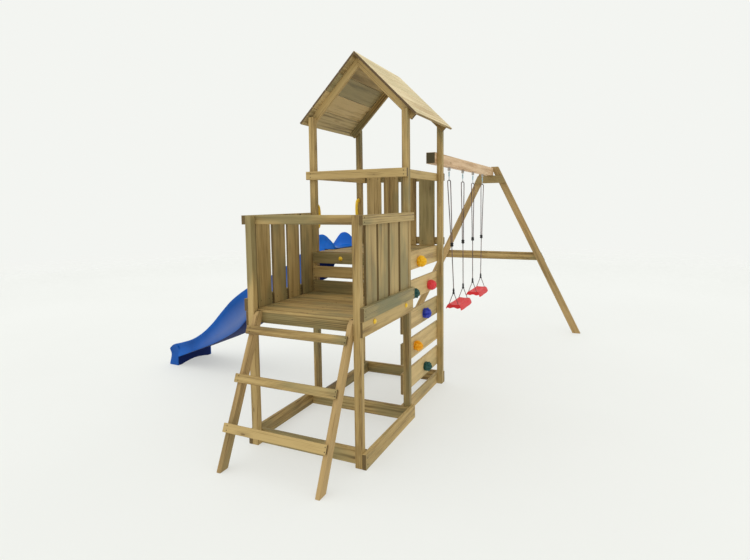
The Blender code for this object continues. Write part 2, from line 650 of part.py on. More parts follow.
def build_rope(name, top_y, clip_y, pivot):
    """A hook on the pin, the doubled rope through it, its adjuster, the clip and the two straps."""
    def at(z):
        share = (HOOK_Z[0] - z) / (HOOK_Z[0] - CLIP_Z[1])
        return top_y + (clip_y - top_y) * max(0.0, share)

    blocks = bmesh.new()
    hook = ((-0.009, HOOK_Z[0]), (0.009, HOOK_Z[0]), (0.011, HOOK_Z[0] + 0.020), (0.008, PIVOT_Z - 0.040),
            (0.011, PIVOT_Z), (0.006, PIVOT_Z + 0.011), (-0.006, PIVOT_Z + 0.011), (-0.011, PIVOT_Z),
            (-0.008, PIVOT_Z - 0.040), (-0.011, HOOK_Z[0] + 0.020))
    add_prism(blocks, hook, top_y - 0.0135, top_y + 0.0135, lambda a, b, c: (AXLE_X + a, c, b))
    for (low, high), half_x, half_y, y in ((ADJUSTER_Z, 0.022, 0.008, at(ADJUSTER_Z[0])),
                                           (CLIP_Z, 0.015, 0.009, clip_y)):
        outline = ((-half_x * 0.7, low), (half_x * 0.7, low), (half_x, low + 0.012), (half_x, high - 0.012),
                   (half_x * 0.8, high), (-half_x * 0.8, high), (-half_x, high - 0.012),
                   (-half_x, low + 0.012))
        add_prism(blocks, outline, y - half_y, y + half_y, lambda a, b, c: (AXLE_X + a, c, b))
    obj = add_object(name, new_mesh("rope", blocks), "rope", pivot)

    ropes = bmesh.new()
    low = ADJUSTER_Z[1] - 0.008
    crown = HOOK_Z[0] + 0.012
    loop = [(-0.011, low), (-0.013, low + 0.30), (-0.017, crown - 0.10), (-0.017, crown - 0.017)]
    loop += [(-0.017 * math.cos(math.pi * k / 6.0), crown - 0.017 + 0.017 * math.sin(math.pi * k / 6.0))
             for k in range(1, 6)]
    loop += [(-x, z) for x, z in reversed(loop[:4])]
    add_tube(ropes, [(AXLE_X + x, at(z), z) for x, z in loop], ROPE)
    add_tube(ropes, [(AXLE_X, at(z), z) for z in (ADJUSTER_Z[0] + 0.008, CLIP_Z[1] - 0.008)], ROPE)
    for sign in (-1.0, 1.0):
        add_tube(ropes, strap(clip_y, sign), 0.0045)
    modify(obj, "UNION", f"{name}_strands", new_mesh("strands", ropes), pivot)

    hole = bmesh.new()
    add_disc(hole, ((PIN_RADIUS + 0.0005, -0.02), (PIN_RADIUS + 0.0005, 0.02)), 12,
             lambda a, b, c: (AXLE_X + a, top_y + c, PIVOT_Z + b))
    modify(obj, "DIFFERENCE", f"{name}_pin_hole", new_mesh("hole", hole), pivot)


def build_seat(name, clips, pivot):
    """A moulded board seat: dished across, its long edges rolled down, its ends upturned."""
    middle = 0.5 * (clips[0] + clips[1])
    rows = 10
    half_x = 0.5 * SEAT_WIDTH
    top = ((-1.0, -0.55), (-0.97, -0.25), (-0.88, -0.04), (-0.62, 0.0), (-0.3, -0.06), (0.0, -0.08),
           (0.3, -0.06), (0.62, 0.0), (0.88, -0.04), (0.97, -0.25), (1.0, -0.55))
    under = ((0.98, -1.0), (0.90, -1.0), (0.86, -0.55), (0.60, -0.42), (0.0, -0.44), (-0.60, -0.42),
             (-0.86, -0.55), (-0.90, -1.0), (-0.98, -1.0))
    bm = bmesh.new()
    rings = []
    for k in range(rows + 1):
        t = -1.0 + 2.0 * k / rows
        narrow = 1.0 - 0.10 * abs(t) ** 6
        lift = 0.006 * t * t
        ring = []
        for a, b in top + under:
            ring.append(bm.verts.new((SEAT_X + a * half_x * narrow, middle + 0.5 * SEAT_LENGTH * t,
                                      SEAT_TOP - 0.006 + lift + b * SEAT_DEPTH)))
        rings.append(ring)
    count = len(rings[0])
    for ring, following in zip(rings, rings[1:]):
        for i in range(count):
            j = (i + 1) % count
            bm.faces.new((ring[i], ring[j], following[j], following[i]))
    bm.faces.new(rings[0])
    bm.faces.new(list(reversed(rings[-1])))
    obj = add_object(name, new_mesh("seat", bm), "red", pivot, smooth=True)
    slots = bmesh.new()
    for clip_y in clips:
        for sign in (-1.0, 1.0):
            top, low = strap(clip_y, sign)
            add_tube(slots, (top, low + 0.5 * (low - top)), 0.0052)
    modify(obj, "DIFFERENCE", f"{name}_slots", new_mesh("slots", slots), pivot)


def build_swings(plan):
    for name, (tops, clips) in SWINGS.items():
        pivot = add_empty(f"{name}_pivot", (AXLE_X, 0.5 * (tops[0] + tops[1]), PIVOT_Z), plan)
        for side, top_y, clip_y in zip(("near", "far"), tops, clips):
            build_rope(f"{name}_rope_{side}", top_y, clip_y, pivot)
        build_seat(f"{name}_seat", clips, pivot)


def main():
    clear_scene()
    plan = add_empty("tower_plan", (PLAN_X, PLAN_Y, 0.0))
    build_posts(plan)
    build_base(plan)
    build_low_platform(plan)
    build_high_platform(plan)
    build_roof(plan)
    build_wall(plan)
    build_ladder(plan)
    build_slide(plan)
    build_handles(plan)
    build_swing_frame(plan)
    build_hangers(plan)
    build_swings(plan)


main()
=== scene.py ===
import itertools
import math
import random

import bmesh
import bpy
from mathutils import Matrix, Vector, noise


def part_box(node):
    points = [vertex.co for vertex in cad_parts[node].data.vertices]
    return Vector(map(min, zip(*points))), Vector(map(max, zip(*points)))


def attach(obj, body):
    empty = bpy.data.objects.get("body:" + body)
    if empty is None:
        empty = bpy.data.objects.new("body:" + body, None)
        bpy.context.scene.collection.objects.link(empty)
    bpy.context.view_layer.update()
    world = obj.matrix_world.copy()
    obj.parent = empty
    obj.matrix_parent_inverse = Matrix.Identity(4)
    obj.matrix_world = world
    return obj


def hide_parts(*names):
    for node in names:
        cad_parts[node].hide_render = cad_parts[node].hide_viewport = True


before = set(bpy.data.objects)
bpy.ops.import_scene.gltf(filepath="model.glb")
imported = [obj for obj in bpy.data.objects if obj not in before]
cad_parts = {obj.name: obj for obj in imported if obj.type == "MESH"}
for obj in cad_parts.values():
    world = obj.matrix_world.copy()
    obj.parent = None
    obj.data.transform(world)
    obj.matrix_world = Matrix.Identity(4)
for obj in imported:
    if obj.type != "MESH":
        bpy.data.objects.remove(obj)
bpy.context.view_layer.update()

# ---- the tower's own plan
# Lengths are metres.  X = 0 and X = WIDTH are the outer faces of the posts, Y = 0 is the front of
# the front posts and Z = 0 is the ground.
HALF_GAP = 0.00015  # each node of the frame stands back this far from its plan
GAP = 0.0003
FRONT, RIGHT, MIDDLE, BACK, WALL, BEAM = (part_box(node) for node in (
    "post_front_left", "post_front_right", "post_mid_left", "post_back_left",
    "wall_base_board", "swing_beam"))
ORIGIN = Vector((FRONT[0].x - HALF_GAP, FRONT[0].y - HALF_GAP, 0.0))

WIDTH = RIGHT[1].x + HALF_GAP - ORIGIN.x
INNER = RIGHT[0].x - HALF_GAP - ORIGIN.x
POST = WIDTH - INNER
MID_Y = MIDDLE[0].y - HALF_GAP - ORIGIN.y
MID_END = MID_Y + POST
BACK_Y = BACK[0].y - HALF_GAP - ORIGIN.y
BACK_END = BACK_Y + POST
WALL_BACK = WALL[0].x - HALF_GAP - ORIGIN.x
LOW_DECK, HIGH_DECK, LOW_RAIL_TOP, HIGH_RAIL_TOP, BASE_RAIL = (
    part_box(node)[1].z + HALF_GAP
    for node in ("low_deck", "high_deck", "low_front_rail", "high_rails", "base_frame"))
LOW_RAIL = LOW_RAIL_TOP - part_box("low_front_rail")[0].z + HALF_GAP
HIGH_RAIL = HIGH_RAIL_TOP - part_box("high_rails")[0].z + HALF_GAP
ROOF_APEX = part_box("roof_left")[1].z + GAP
ROOF_RUN = 0.5 * WIDTH - (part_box("roof_left")[0].x - ORIGIN.x)

# Thickness of rails and boards and depth of joists.
RAIL, BOARD, JOIST = 0.033, 0.02, 0.085
DECK_GAP = 0.006
LADDER_SKEW = 0.0226  # how far the ladder drifts aside for each metre down
# Heights of the low sides' lower rail and joist, and where their slats stand along Y.
LOW_BOTTOM_RAIL = (1.106, 1.205)
LOW_SIDE_JOIST = (0.988, 1.105)
SIDE_SLATS = ((0.113, 0.298), (0.334, 0.515), (0.556, 0.738), (0.782, 0.9645))
SLAT_DROP = 0.004  # slats end this far below their top rail
BACK_SLATS = (0.112, 0.902, 4, 0.034)  # first edge, last edge, how many, gap
BACK_RAIL_LIFT = 0.008
ROOT_2 = math.sqrt(2.0)
# Where the roof's boards meet, as distances down the slope.
ROOF_JOINTS = (0.0, 0.23, 0.43, 0.63, ROOF_RUN * ROOT_2)
ROOF_OPEN = 0.0012  # half the gap between two of them
RAFTER_DEPTH = 0.065
RAFTER_RUN = 0.552
AXLE_X = 0.5 * (BEAM[0].x + BEAM[1].x) - ORIGIN.x
PIVOT_Z = 2.325
QUARTER = 0.5 * math.pi


def plan(x, y, z):
    """A place in the tower's own plan."""
    return ORIGIN + Vector((x, y, z))


# ---- camera
CAMERA_PLACE = (2.6056, -3.212, 1.9475)
CAMERA_TURN = math.radians(25.358)
CAMERA_TILT = math.radians(-5.252)
CAMERA_ROLL = math.radians(-0.735)
CAMERA_LENS = 24.51
CAMERA_SHIFT = (0.0071, -0.0391)


def make_camera():
    data = bpy.data.cameras.new("camera")
    data.sensor_width = 36.0
    data.lens = CAMERA_LENS
    data.shift_x, data.shift_y = CAMERA_SHIFT
    data.clip_end = 200.0
    cam = bpy.data.objects.new("camera", data)
    turn = Matrix.Rotation(CAMERA_TURN, 4, "Z") @ Matrix.Rotation(QUARTER + CAMERA_TILT, 4, "X")
    turn = turn @ Matrix.Rotation(CAMERA_ROLL, 4, "Z")
    cam.matrix_world = Matrix.Translation(plan(*CAMERA_PLACE)) @ turn
    bpy.context.scene.collection.objects.link(cam)
    bpy.context.scene.camera = cam


# ---- shader building
def scaled(colour, factor):
    return tuple(factor * c for c in colour)


class Look:
    """A material, with short ways to add nodes to its tree and to join them."""

    def __init__(self, name):
        self.material = bpy.data.materials.new(name)
        self.material.use_nodes = True
        self.tree = self.material.node_tree
        self.shader = self.tree.nodes["Principled BSDF"]

    def feed(self, node, inputs):
        """Give a node its inputs, each a value or another node's output."""
        for key, value in inputs.items():
            if isinstance(value, bpy.types.NodeSocket):
                self.tree.links.new(value, node.inputs[key])
            else:
                node.inputs[key].default_value = value

    def add(self, kind, inputs=None, **settings):
        node = self.tree.nodes.new(f"ShaderNode{kind}")
        for key, value in settings.items():
            setattr(node, key, value)
        self.feed(node, inputs or {})
        return node

    def attribute(self, name, output="Fac"):
        return self.add("Attribute", attribute_name=name).outputs[output]

    def place(self):
        return self.add("TexCoord").outputs["Object"]

    def calc(self, operation, first, second=0.0, clamp=False):
        node = self.add("Math", {0: first, 1: second}, operation=operation, use_clamp=clamp)
        return node.outputs[0]

    def plus(self, first, second):
        return self.calc("ADD", first, second)

    def times(self, first, second, clamp=False):
        return self.calc("MULTIPLY", first, second, clamp)

    def stretch(self, vector, factors):
        node = self.add("VectorMath", {0: vector, 1: factors}, operation="MULTIPLY")
        return node.outputs[0]

    def shift(self, vector, by):
        return self.add("VectorMath", {0: vector, 1: by}, operation="ADD").outputs[0]

    def part(self, vector, axis):
        return self.add("SeparateXYZ", {0: vector}).outputs[axis]

    def noise(self, vector, scale=1.0, detail=3.0, roughness=0.55):
        inputs = {"Vector": vector, "Scale": scale, "Detail": detail, "Roughness": roughness}
        return self.add("TexNoise", inputs).outputs["Fac"]

    def rings(self, vector, scale, distortion, detail_scale=1.0):
        inputs = {"Vector": vector, "Scale": scale, "Distortion": distortion, "Detail": 2.0,
                  "Detail Scale": detail_scale}
        node = self.add("TexWave", inputs, wave_type="RINGS", rings_direction="X")
        return node.outputs["Fac"]

    def remap(self, value, low, high, to_low=0.0, to_high=1.0):
        inputs = {"Value": value, "From Min": low, "From Max": high, "To Min": to_low,
                  "To Max": to_high}
        node = self.add("MapRange", inputs, interpolation_type="SMOOTHSTEP")
        return node.outputs["Result"]

    def mix(self, factor, first, second):
        """Blend two colours, each a node's output or (red, green, blue)."""
        first, second = ((*c, 1.0) if isinstance(c, tuple) else c for c in (first, second))
        return self.add("Mix", {0: factor, 6: first, 7: second}, data_type="RGBA").outputs[2]

    def ramp(self, value, positions, colours):
        node = self.add("ValToRGB", {"Fac": value})
        elements = node.color_ramp.elements
        while len(elements) < len(colours):
            elements.new(0.5)
        for element, position, colour in zip(elements, positions, colours):
            element.position = position
            element.color = (*colour, 1.0)
        return node.outputs["Color"]

    def finish(self, colour, roughness, height, distance, strength, others):
        """Join the colour, roughness, bump and other inputs to the shader."""
        inputs = {"Height": height, "Distance": distance, "Strength": strength}
        normal = self.add("Bump", inputs).outputs["Normal"]
        self.feed(self.shader, {"Base Color": colour, "Roughness": roughness, "Normal": normal})
        self.feed(self.shader, others)
        return self.material


# ---- materials
# Light, middle and dark grain, and the tint that the treatment leaves, all linear.
TREATED = ((0.52, 0.368, 0.148), (0.33, 0.212, 0.068), (0.12, 0.07, 0.02),
           (0.178, 0.165, 0.074))
LEG = ((0.47, 0.315, 0.13), (0.33, 0.208, 0.076), (0.17, 0.1, 0.032),
       (0.21, 0.168, 0.066))
WARM = ((0.64, 0.465, 0.21), (0.5, 0.345, 0.138), (0.25, 0.15, 0.05),
        (0.3, 0.26, 0.115))
PALE = ((0.85, 0.71, 0.44), (0.74, 0.59, 0.33), (0.5, 0.35, 0.16),
        (0.52, 0.47, 0.25))
PINK = ((0.8, 0.59, 0.38), (0.7, 0.475, 0.275), (0.48, 0.29, 0.14),
        (0.52, 0.42, 0.24))
# Darker grain for faces that look down: painted shade under the roof.
SHADED = ((0.6, 0.45, 0.21), (0.4, 0.28, 0.11), (0.18, 0.115, 0.04))
GRAIN_STOPS = (0.53, 0.66, 0.79)  # lightness at which dark, middle and light grain lie
GREEN_STAIN = (0.135, 0.175, 0.11)
KNOT_BROWN = (0.1, 0.052, 0.016)
CRACK_BROWN = (0.09, 0.05, 0.02)
BEAM_END = (0.09, 0.072, 0.032)
ROOF_END = (0.115, 0.07, 0.028)

# How finely each pattern of the wood repeats along, across and through a board.
KNOTS = (2.6, 9.0, 9.0)
STREAKS = (1.2, 26.0, 26.0)
FINE_LINES = (5.0, 260.0, 260.0)
BROAD_BANDS = (0.7, 4.0, 4.0)
STAINS = (1.1, 3.1, 3.1)
CRACKS = (1.6, 150.0, 150.0)
GROWTH = (0.09, 1.0, 1.0)
STAINS_START = (7.0, 3.0, 5.0)
PITH, END_PITH = (0.0, 0.021, 0.034), (0.0, 0.03, 0.05)  # the rings' centre, beside the board
NODE_SPREAD = (31.0, 17.3, 23.7)  # how far apart the grain of two nodes of the frame may lie

# Turns that bring the grain of a node that lies along an axis onto the texture's X axis.
ALONG_X = (0.0, 0.0, 0.0)
ALONG_Y = (0.0, 0.0, -QUARTER)
ALONG_Z = (0.0, QUARTER, 0.0)


def wood(name, palette, turn=None, treated=0.6, below=None, ends=None):
    """Planed pine.  Boards bring their grain's place with them; on a node of the frame, turn
    brings the grain's direction onto the texture's X axis.  Faces that look down may take a
    darker palette, which is painted shade, and sawn ends may have colours of their own."""
    look = Look(name)
    green = 0.0
    if turn is None:
        green, tone, cut = (look.attribute(layer) for layer in ("green", "tone", "cut"))
        place = look.attribute("grain", "Vector")
    else:
        coord = look.add("TexCoord").outputs
        tone = look.add("ObjectInfo").outputs["Random"]
        laid = look.add("Mapping", {"Vector": coord["Object"], "Rotation": turn})
        away = look.add("CombineXYZ", {k: look.times(tone, NODE_SPREAD[k]) for k in range(3)})
        place = look.shift(laid.outputs[0], away.outputs[0])
        facing = look.add("Mapping", {"Vector": coord["Normal"], "Rotation": turn},
                          vector_type="NORMAL")
        cut = look.remap(look.calc("ABSOLUTE", look.part(facing.outputs[0], 0)), 0.8, 0.9)

    knots = look.add("TexVoronoi", {"Vector": look.stretch(place, KNOTS), "Scale": 1.0})
    distance = knots.outputs["Distance"]
    knot = look.remap(distance, 0.075, 0.04)
    halo = look.remap(distance, 0.3, 0.06)
    aside = look.add("CombineXYZ", {1: look.times(halo, 0.01)})
    bent = look.shift(place, aside.outputs[0])
    streak = look.noise(look.stretch(bent, STREAKS), 1.0, 5.0, 0.62)
    fine = look.noise(look.stretch(bent, FINE_LINES), 1.0, 2.0, 0.5)
    broad = look.noise(look.stretch(place, BROAD_BANDS), 1.0, 2.0)
    stain = look.noise(look.shift(look.stretch(place, STAINS), STAINS_START))
    rings = look.rings(look.shift(look.stretch(bent, GROWTH), PITH), 36.0, 3.0, 1.2)
    crack = look.remap(look.noise(look.stretch(place, CRACKS), 1.0, 1.0), 0.7, 0.76)

    lightness = look.times(streak, 0.72)
    for part, weight in ((rings, 0.14), (fine, 0.2), (broad, 0.22), (tone, 0.16)):
        lightness = look.plus(lightness, look.times(part, weight))
    light, middle, dark, tint = palette
    colour = look.ramp(lightness, GRAIN_STOPS, (dark, middle, light))
    soaked = look.times(look.remap(stain, 0.46, 0.6), treated)
    soaked = look.times(soaked, look.remap(tone, 0.85, 0.98, 1.0, 0.0))
    colour = look.mix(soaked, colour, tint)
    # Painted shade: faces that look down take the darker palette.
    if below:
        shaded = look.ramp(lightness, GRAIN_STOPS, below[::-1])
        upward = look.part(look.add("TexCoord").outputs["Normal"], 2)
        colour = look.mix(look.remap(upward, -0.2, -0.4), colour, shaded)
    colour = look.mix(green, colour, GREEN_STAIN)
    for share, weight, stained in ((halo, 0.25, dark), (knot, 0.65, KNOT_BROWN),
                                   (crack, 0.45, CRACK_BROWN)):
        colour = look.mix(look.times(share, weight), colour, stained)
    end_rings = look.rings(look.shift(place, END_PITH), 55.0, 1.0)
    sawn = look.mix(look.times(end_rings, 0.6), scaled(middle, 0.5), scaled(dark, 0.6))
    colour = look.mix(cut, colour, ends or sawn)

    rough = look.plus(look.times(streak, 0.3), 0.48)
    height = look.plus(look.times(streak, 0.5), look.times(fine, 0.35))
    height = look.calc("SUBTRACT", height, look.times(crack, 0.6))
    return look.finish(colour, rough, height, 0.0022, 0.7, {"Specular IOR Level": 0.35})


def plastic(name, colour, worn, roughness, grain, depth, coat=0.0, mottle=0.35):
    """Moulded plastic or cast resin: a fine surface grain, faint mottling and paler worn spots."""
    look = Look(name)
    place = look.place()
    cloud = look.noise(place, 14.0, 4.0)
    specks = look.noise(place, grain, 3.0, 0.6)
    wear = look.remap(look.noise(place, 31.0, 5.0, 0.7), 0.56, 0.74)
    base = look.mix(look.times(cloud, 2.0 * mottle, True), colour, scaled(colour, 0.72))
    base = look.mix(look.times(wear, 0.45), base, worn)
    rough = look.plus(look.times(specks, 0.22), roughness - 0.08)
    return look.finish(base, rough, specks, depth, 0.6,
                       {"Coat Weight": coat, "Coat Roughness": 0.15})


SLIDE_BLUES = ((0.003, 0.07, 0.32), (0.004, 0.092, 0.41), (0.006, 0.118, 0.5))
SCUFF_BLUE = (0.13, 0.24, 0.56)
# Painted sheen: a paler grey blue on the low outer walls, standing in for the floor's reflection.
PAINTED_SHEEN_BLUE = (0.14, 0.19, 0.38)
# Painted light: a brighter, more saturated blue on the ears at the top.
PAINTED_LIGHT_BLUE = (0.002, 0.15, 0.68)
# Painted shade: the dark navy given to the slide's underside.
PAINTED_SHADE_BLUE = (0.0003, 0.008, 0.08)


def slide_plastic():
    """Blow-moulded blue plastic: scuffs where children slide, painted sheen on the low walls,
    painted light on the ears and painted shade on the hollow underside."""
    look = Look("slide_plastic")
    place = look.place()
    under, sheen, bright = (look.attribute(layer) for layer in ("under", "sheen", "bright"))
    cloud = look.noise(place, 3.0)
    scuffs = look.noise(look.stretch(place, (3.0, 60.0, 6.0)), 1.0, 6.0, 0.7)
    scuffs = look.remap(scuffs, 0.6, 0.8)
    peel = look.noise(place, 120.0, 2.0)
    base = look.ramp(cloud, (0.3, 0.55, 0.8), SLIDE_BLUES)
    for share, weight, colour in ((scuffs, 0.25, SCUFF_BLUE), (sheen, 0.75, PAINTED_SHEEN_BLUE),
                                  (bright, 0.8, PAINTED_LIGHT_BLUE), (under, 0.96, PAINTED_SHADE_BLUE)):
        base = look.mix(look.times(share, weight), base, colour)
    rough = look.plus(look.times(scuffs, 0.2), look.times(peel, 0.1))
    rough = look.plus(look.plus(rough, look.times(under, 0.4)), 0.3)
    height = look.plus(cloud, look.times(peel, 0.1))
    return look.finish(base, rough, height, 0.004, 0.5, {"Specular IOR Level": 0.16})


def metal(name, colour, roughness):
    """Galvanised steel: duller spots in its colour, the zinc's spangle in its roughness."""
    look = Look(name)
    place = look.place()
    spangle = look.add("TexVoronoi", {"Vector": place, "Scale": 420.0}).outputs["Color"]
    grey = look.add("SeparateColor", {0: spangle}).outputs[0]
    spots = look.noise(place, 90.0, 4.0, 0.7)
    base = look.mix(look.remap(spots, 0.5, 0.7, 0.0, 0.6), colour, scaled(colour, 0.55))
    rough = look.plus(look.times(grey, 0.18), roughness)
    return look.finish(base, rough, spots, 0.0003, 0.5, {"Metallic": 1.0})


def rope_material(name, light, dark):
    """Laid rope: its strands are real, and the yarns on them are drawn along the lay."""
    look = Look(name)
    inputs = {"Vector": look.attribute("lay", "Vector"), "Scale": 1.6, "Distortion": 0.6,
              "Detail": 1.0}
    yarn = look.add("TexWave", inputs, bands_direction="X").outputs["Fac"]
    fuzz = look.noise(look.place(), 220.0, 4.0, 0.7)
    mixed = look.plus(look.times(yarn, 0.55), look.times(fuzz, 0.45))
    colour = look.ramp(mixed, (0.25, 0.75), (dark, light))
    return look.finish(colour, 0.85, mixed, 0.0012, 0.8, {"Sheen Weight": 0.25})


BACKDROP = (0.9, 0.912, 0.88, 1.0)
FLOOR_TONES = ((0.4, 0.404, 0.392), (0.416, 0.42, 0.41))
FLOOR_FADE = (7.0, 19.0)  # distances at which the floor starts to fade and is gone


def floor_material():
    """A pale studio floor, half of it self-lit, that fades into the background far away."""
    look = Look("studio_floor")
    place = look.place()
    far = look.add("VectorMath", {0: place}, operation="LENGTH").outputs["Value"]
    look.feed(look.shader, {
        "Base Color": look.ramp(look.noise(place, 0.35), (0.3, 0.7), FLOOR_TONES),
        "Emission Color": BACKDROP, "Emission Strength": 0.5, "Roughness": 0.75,
        "Specular IOR Level": 0.2, "Alpha": look.remap(far, *FLOOR_FADE, 1.0, 0.0)})
    return look.material


# ---- pieces
def new_object(name, bm, material, sharp=40.0):
    """Turn a bmesh into an object.  Edges of more than sharp degrees stay sharp."""
    bmesh.ops.recalc_face_normals(bm, faces=bm.faces)
    mesh = bpy.data.meshes.new(name)
    bm.to_mesh(mesh)
    bm.free()
    mesh.shade_smooth()
    if sharp:
        mesh.set_sharp_from_angle(angle=math.radians(sharp))
    mesh.materials.append(material)
    obj = bpy.data.objects.new(name, mesh)
    bpy.context.scene.collection.objects.link(obj)
    return obj


def place_piece(name, bm, material, body="frame", replaced=None, sharp=40.0):
    obj = new_object(name, bm, material, sharp)
    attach(obj, body)
    if replaced:
        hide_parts(replaced)
    return obj


# ---- boards
class Boards:
    """Boards gathered into one mesh, each with its own place in the grain and its own tone."""

    def __init__(self, seed):
        self.bm = bmesh.new()
        self.grain = self.bm.verts.layers.float_vector.new("grain")
        self.tone = self.bm.verts.layers.float.new("tone")
        self.green = self.bm.verts.layers.float.new("green")
        self.cut = self.bm.faces.layers.float.new("cut")
        self.random = random.Random(seed)
        self.look = None  # (tone, green) of the next boards, or None to draw a tone
        self.edge_cut = 0.0  # how far the long edges of the next boards look sawn

    def solid(self, rings, matrix, cap_cut, side_cuts):
        """A board between two rings of points in its own space: along, across and through it."""
        shift = Vector([self.random.uniform(-40.0, 40.0) for _ in range(3)])
        drawn = self.random.random()
        tone, green = self.look or (drawn, 0.0)
        made = []
        for ring in rings:
            made.append([])
            for local in ring:
                vert = self.bm.verts.new(ORIGIN + matrix @ local)
                vert[self.grain] = shift + local
                vert[self.tone] = tone
                vert[self.green] = green
                made[-1].append(vert)
        for cap in (made[0], made[1][::-1]):
            self.bm.faces.new(cap)[self.cut] = cap_cut
        for i, side_cut in enumerate(side_cuts):
            j = (i + 1) % len(side_cuts)
            face = self.bm.faces.new((made[0][i], made[1][i], made[1][j], made[0][j]))
            face[self.cut] = side_cut

    def flat(self, outline, thick, matrix):
        """A board given by its face, as (along, across) points."""
        rings = [[Vector((a, b, c)) for a, b in outline] for c in (-0.5 * thick, 0.5 * thick)]
        pairs = zip(outline, outline[1:] + outline[:1])
        cuts = [1.0 if abs(q[1] - p[1]) > abs(q[0] - p[0]) else self.edge_cut for p, q in pairs]
        self.solid(rings, matrix, 0.0, cuts)

    def bar(self, section, length, matrix):
        """A board given by its section, as (across, through) points."""
        rings = [[Vector((a, b, c)) for b, c in section] for a in (-0.5 * length, 0.5 * length)]
        self.solid(rings, matrix, 1.0, [0.0] * len(section))


    def box(self, xs, ys, zs, along):
        """A board that fills a box, with its grain along one axis."""
        spans = [(low + HALF_GAP, high - HALF_GAP) for low, high in (xs, ys, zs)]
        size = [high - low for low, high in spans]
        centre = Vector([0.5 * (low + high) for low, high in spans])
        first = "xyz".index(along)
        second, third = sorted((k for k in range(3) if k != first), key=lambda k: -size[k])
        axes = [Vector([float(k == axis) for k in range(3)]) for axis in (first, second)]
        axes.append(axes[0].cross(axes[1]))
        turn = Matrix.Translation(centre) @ Matrix(axes).transposed().to_4x4()
        a, b = 0.5 * size[first], 0.5 * size[second]
        self.flat(((-a, -b), (a, -b), (a, b), (-a, b)), size[third], turn)

    def finish(self, name, material, replaced, slot="treated_timber", arris=0.002):
        """Make one piece of the boards so far, with their edges rounded."""
        obj = place_piece(name, self.bm, material, replaced=replaced, sharp=None)
        edge = obj.modifiers.new("arris", "BEVEL")
        edge.width = arris
        edge.segments = 3
        edge.limit_method = "ANGLE"
        edge.harden_normals = True


def spread(first, last, count, gap):
    """Split a length into equal boards with a gap between neighbours."""
    size = (last - first - gap * (count - 1)) / count
    return [(first + i * (size + gap), first + i * (size + gap) + size) for i in range(count)]


def base_boards(material):
    boards = Boards(11)
    height = (0.0, BASE_RAIL)
    for y in (POST, MID_Y - RAIL, BACK_END):
        boards.box((0.0, WIDTH), (y, y + RAIL), height, "x")
    for x, y in ((-RAIL, 0.0), (WIDTH, 0.0), (POST, MID_Y)):
        boards.box((x, x + RAIL), (y, BACK_END if y else MID_END), height, "y")
    boards.finish("base_rails", material, "base_frame")


def deck_boards(level, seed, xs, ys, count, joists, bearers, top, material):
    """A deck's boards, the joists along X under them and the bearers between those."""
    boards = Boards(seed)
    frame_z = (top - BOARD - JOIST, top - BOARD)
    for span in spread(*ys, count, DECK_GAP):
        boards.box(xs, span, (top - BOARD, top), "x")
    joist_x, joists_y = joists
    for y in joists_y:
        boards.box(joist_x, (y, y + RAIL), frame_z, "x")
    for x in bearers:
        boards.box((x, x + RAIL), (joists_y[0] + RAIL, joists_y[1]), frame_z, "y")
    boards.finish(f"{level}_deck_boards", material, f"{level}_deck", arris=0.0028)


# How light and how green each slat of the low platform's sides is, and the boards round them.
SLAT_LOOKS = {
    "left": ((0.84, 0.05), (0.66, 0.16), (0.8, 0.04), (0.74, 0.1)),
    "right": ((0.82, 0.1), (0.76, 0.06), (0.84, 0.12), (0.78, 0.08)),
}
LOWER_RAIL_LOOK, UPPER_RAIL_LOOK, JOIST_LOOK = (0.35, 0.4), (0.6, 0.1), (1.0, 0.0)


def side_panel(side, wall, out, material):
    """The low platform's side: two rails and a joist outside, four slats inside."""
    boards = Boards(31 + int(out))
    along = (0.0, MID_END)
    top_z = (LOW_RAIL_TOP - LOW_RAIL, LOW_RAIL_TOP)

    def across(inner, outer):
        return tuple(sorted((wall + out * inner, wall + out * outer)))

    for zs, thick, look in ((LOW_BOTTOM_RAIL, RAIL, LOWER_RAIL_LOOK),
                            (top_z, RAIL, UPPER_RAIL_LOOK), (LOW_SIDE_JOIST, BOARD, JOIST_LOOK)):
        boards.look = look
        boards.box(across(0.0, thick), along, zs, "y")
    boards.edge_cut = 0.9
    for ys, look in zip(SIDE_SLATS, SLAT_LOOKS[side]):
        boards.look = look
        boards.box(across(-BOARD, 0.0), ys, (LOW_DECK, LOW_RAIL_TOP - SLAT_DROP), "z")
    boards.finish(f"side_panel_{side}", material, f"low_side_panel_{side}")


def high_rail_boards(material):
    boards = Boards(41)
    boards.look = (0.97, 0.0)
    top_z = (HIGH_RAIL_TOP - HIGH_RAIL, HIGH_RAIL_TOP)
    boards.box((-0.02, WIDTH), (MID_Y - RAIL, MID_Y), top_z, "x")
    for x in (POST, INNER - RAIL):
        boards.box((x, x + RAIL), (MID_Y, BACK_END), top_z, "y")
    boards.finish("top_rails", material, "high_rails")
    boards = Boards(43)
    bottom = HIGH_DECK + BACK_RAIL_LIFT
    for zs in (top_z, (bottom, bottom + HIGH_RAIL)):
        boards.box((0.0, WIDTH), (BACK_END, BACK_END + RAIL), zs, "x")
    for xs in spread(*BACK_SLATS):
        boards.box(xs, (BACK_END - BOARD, BACK_END), (HIGH_DECK, HIGH_RAIL_TOP - SLAT_DROP), "z")
    boards.finish("back_fence", material, "back_panel")


# How light and how green each board of the left-hand slope is, from the ridge down, and how
# light the front and back rafters are.
ROOF_LOOKS = ((0.35, 0.1), (0.75, 0.45), (0.98, 0.0), (0.55, 0.18))
RAFTER_TONES = (0.96, 0.25)


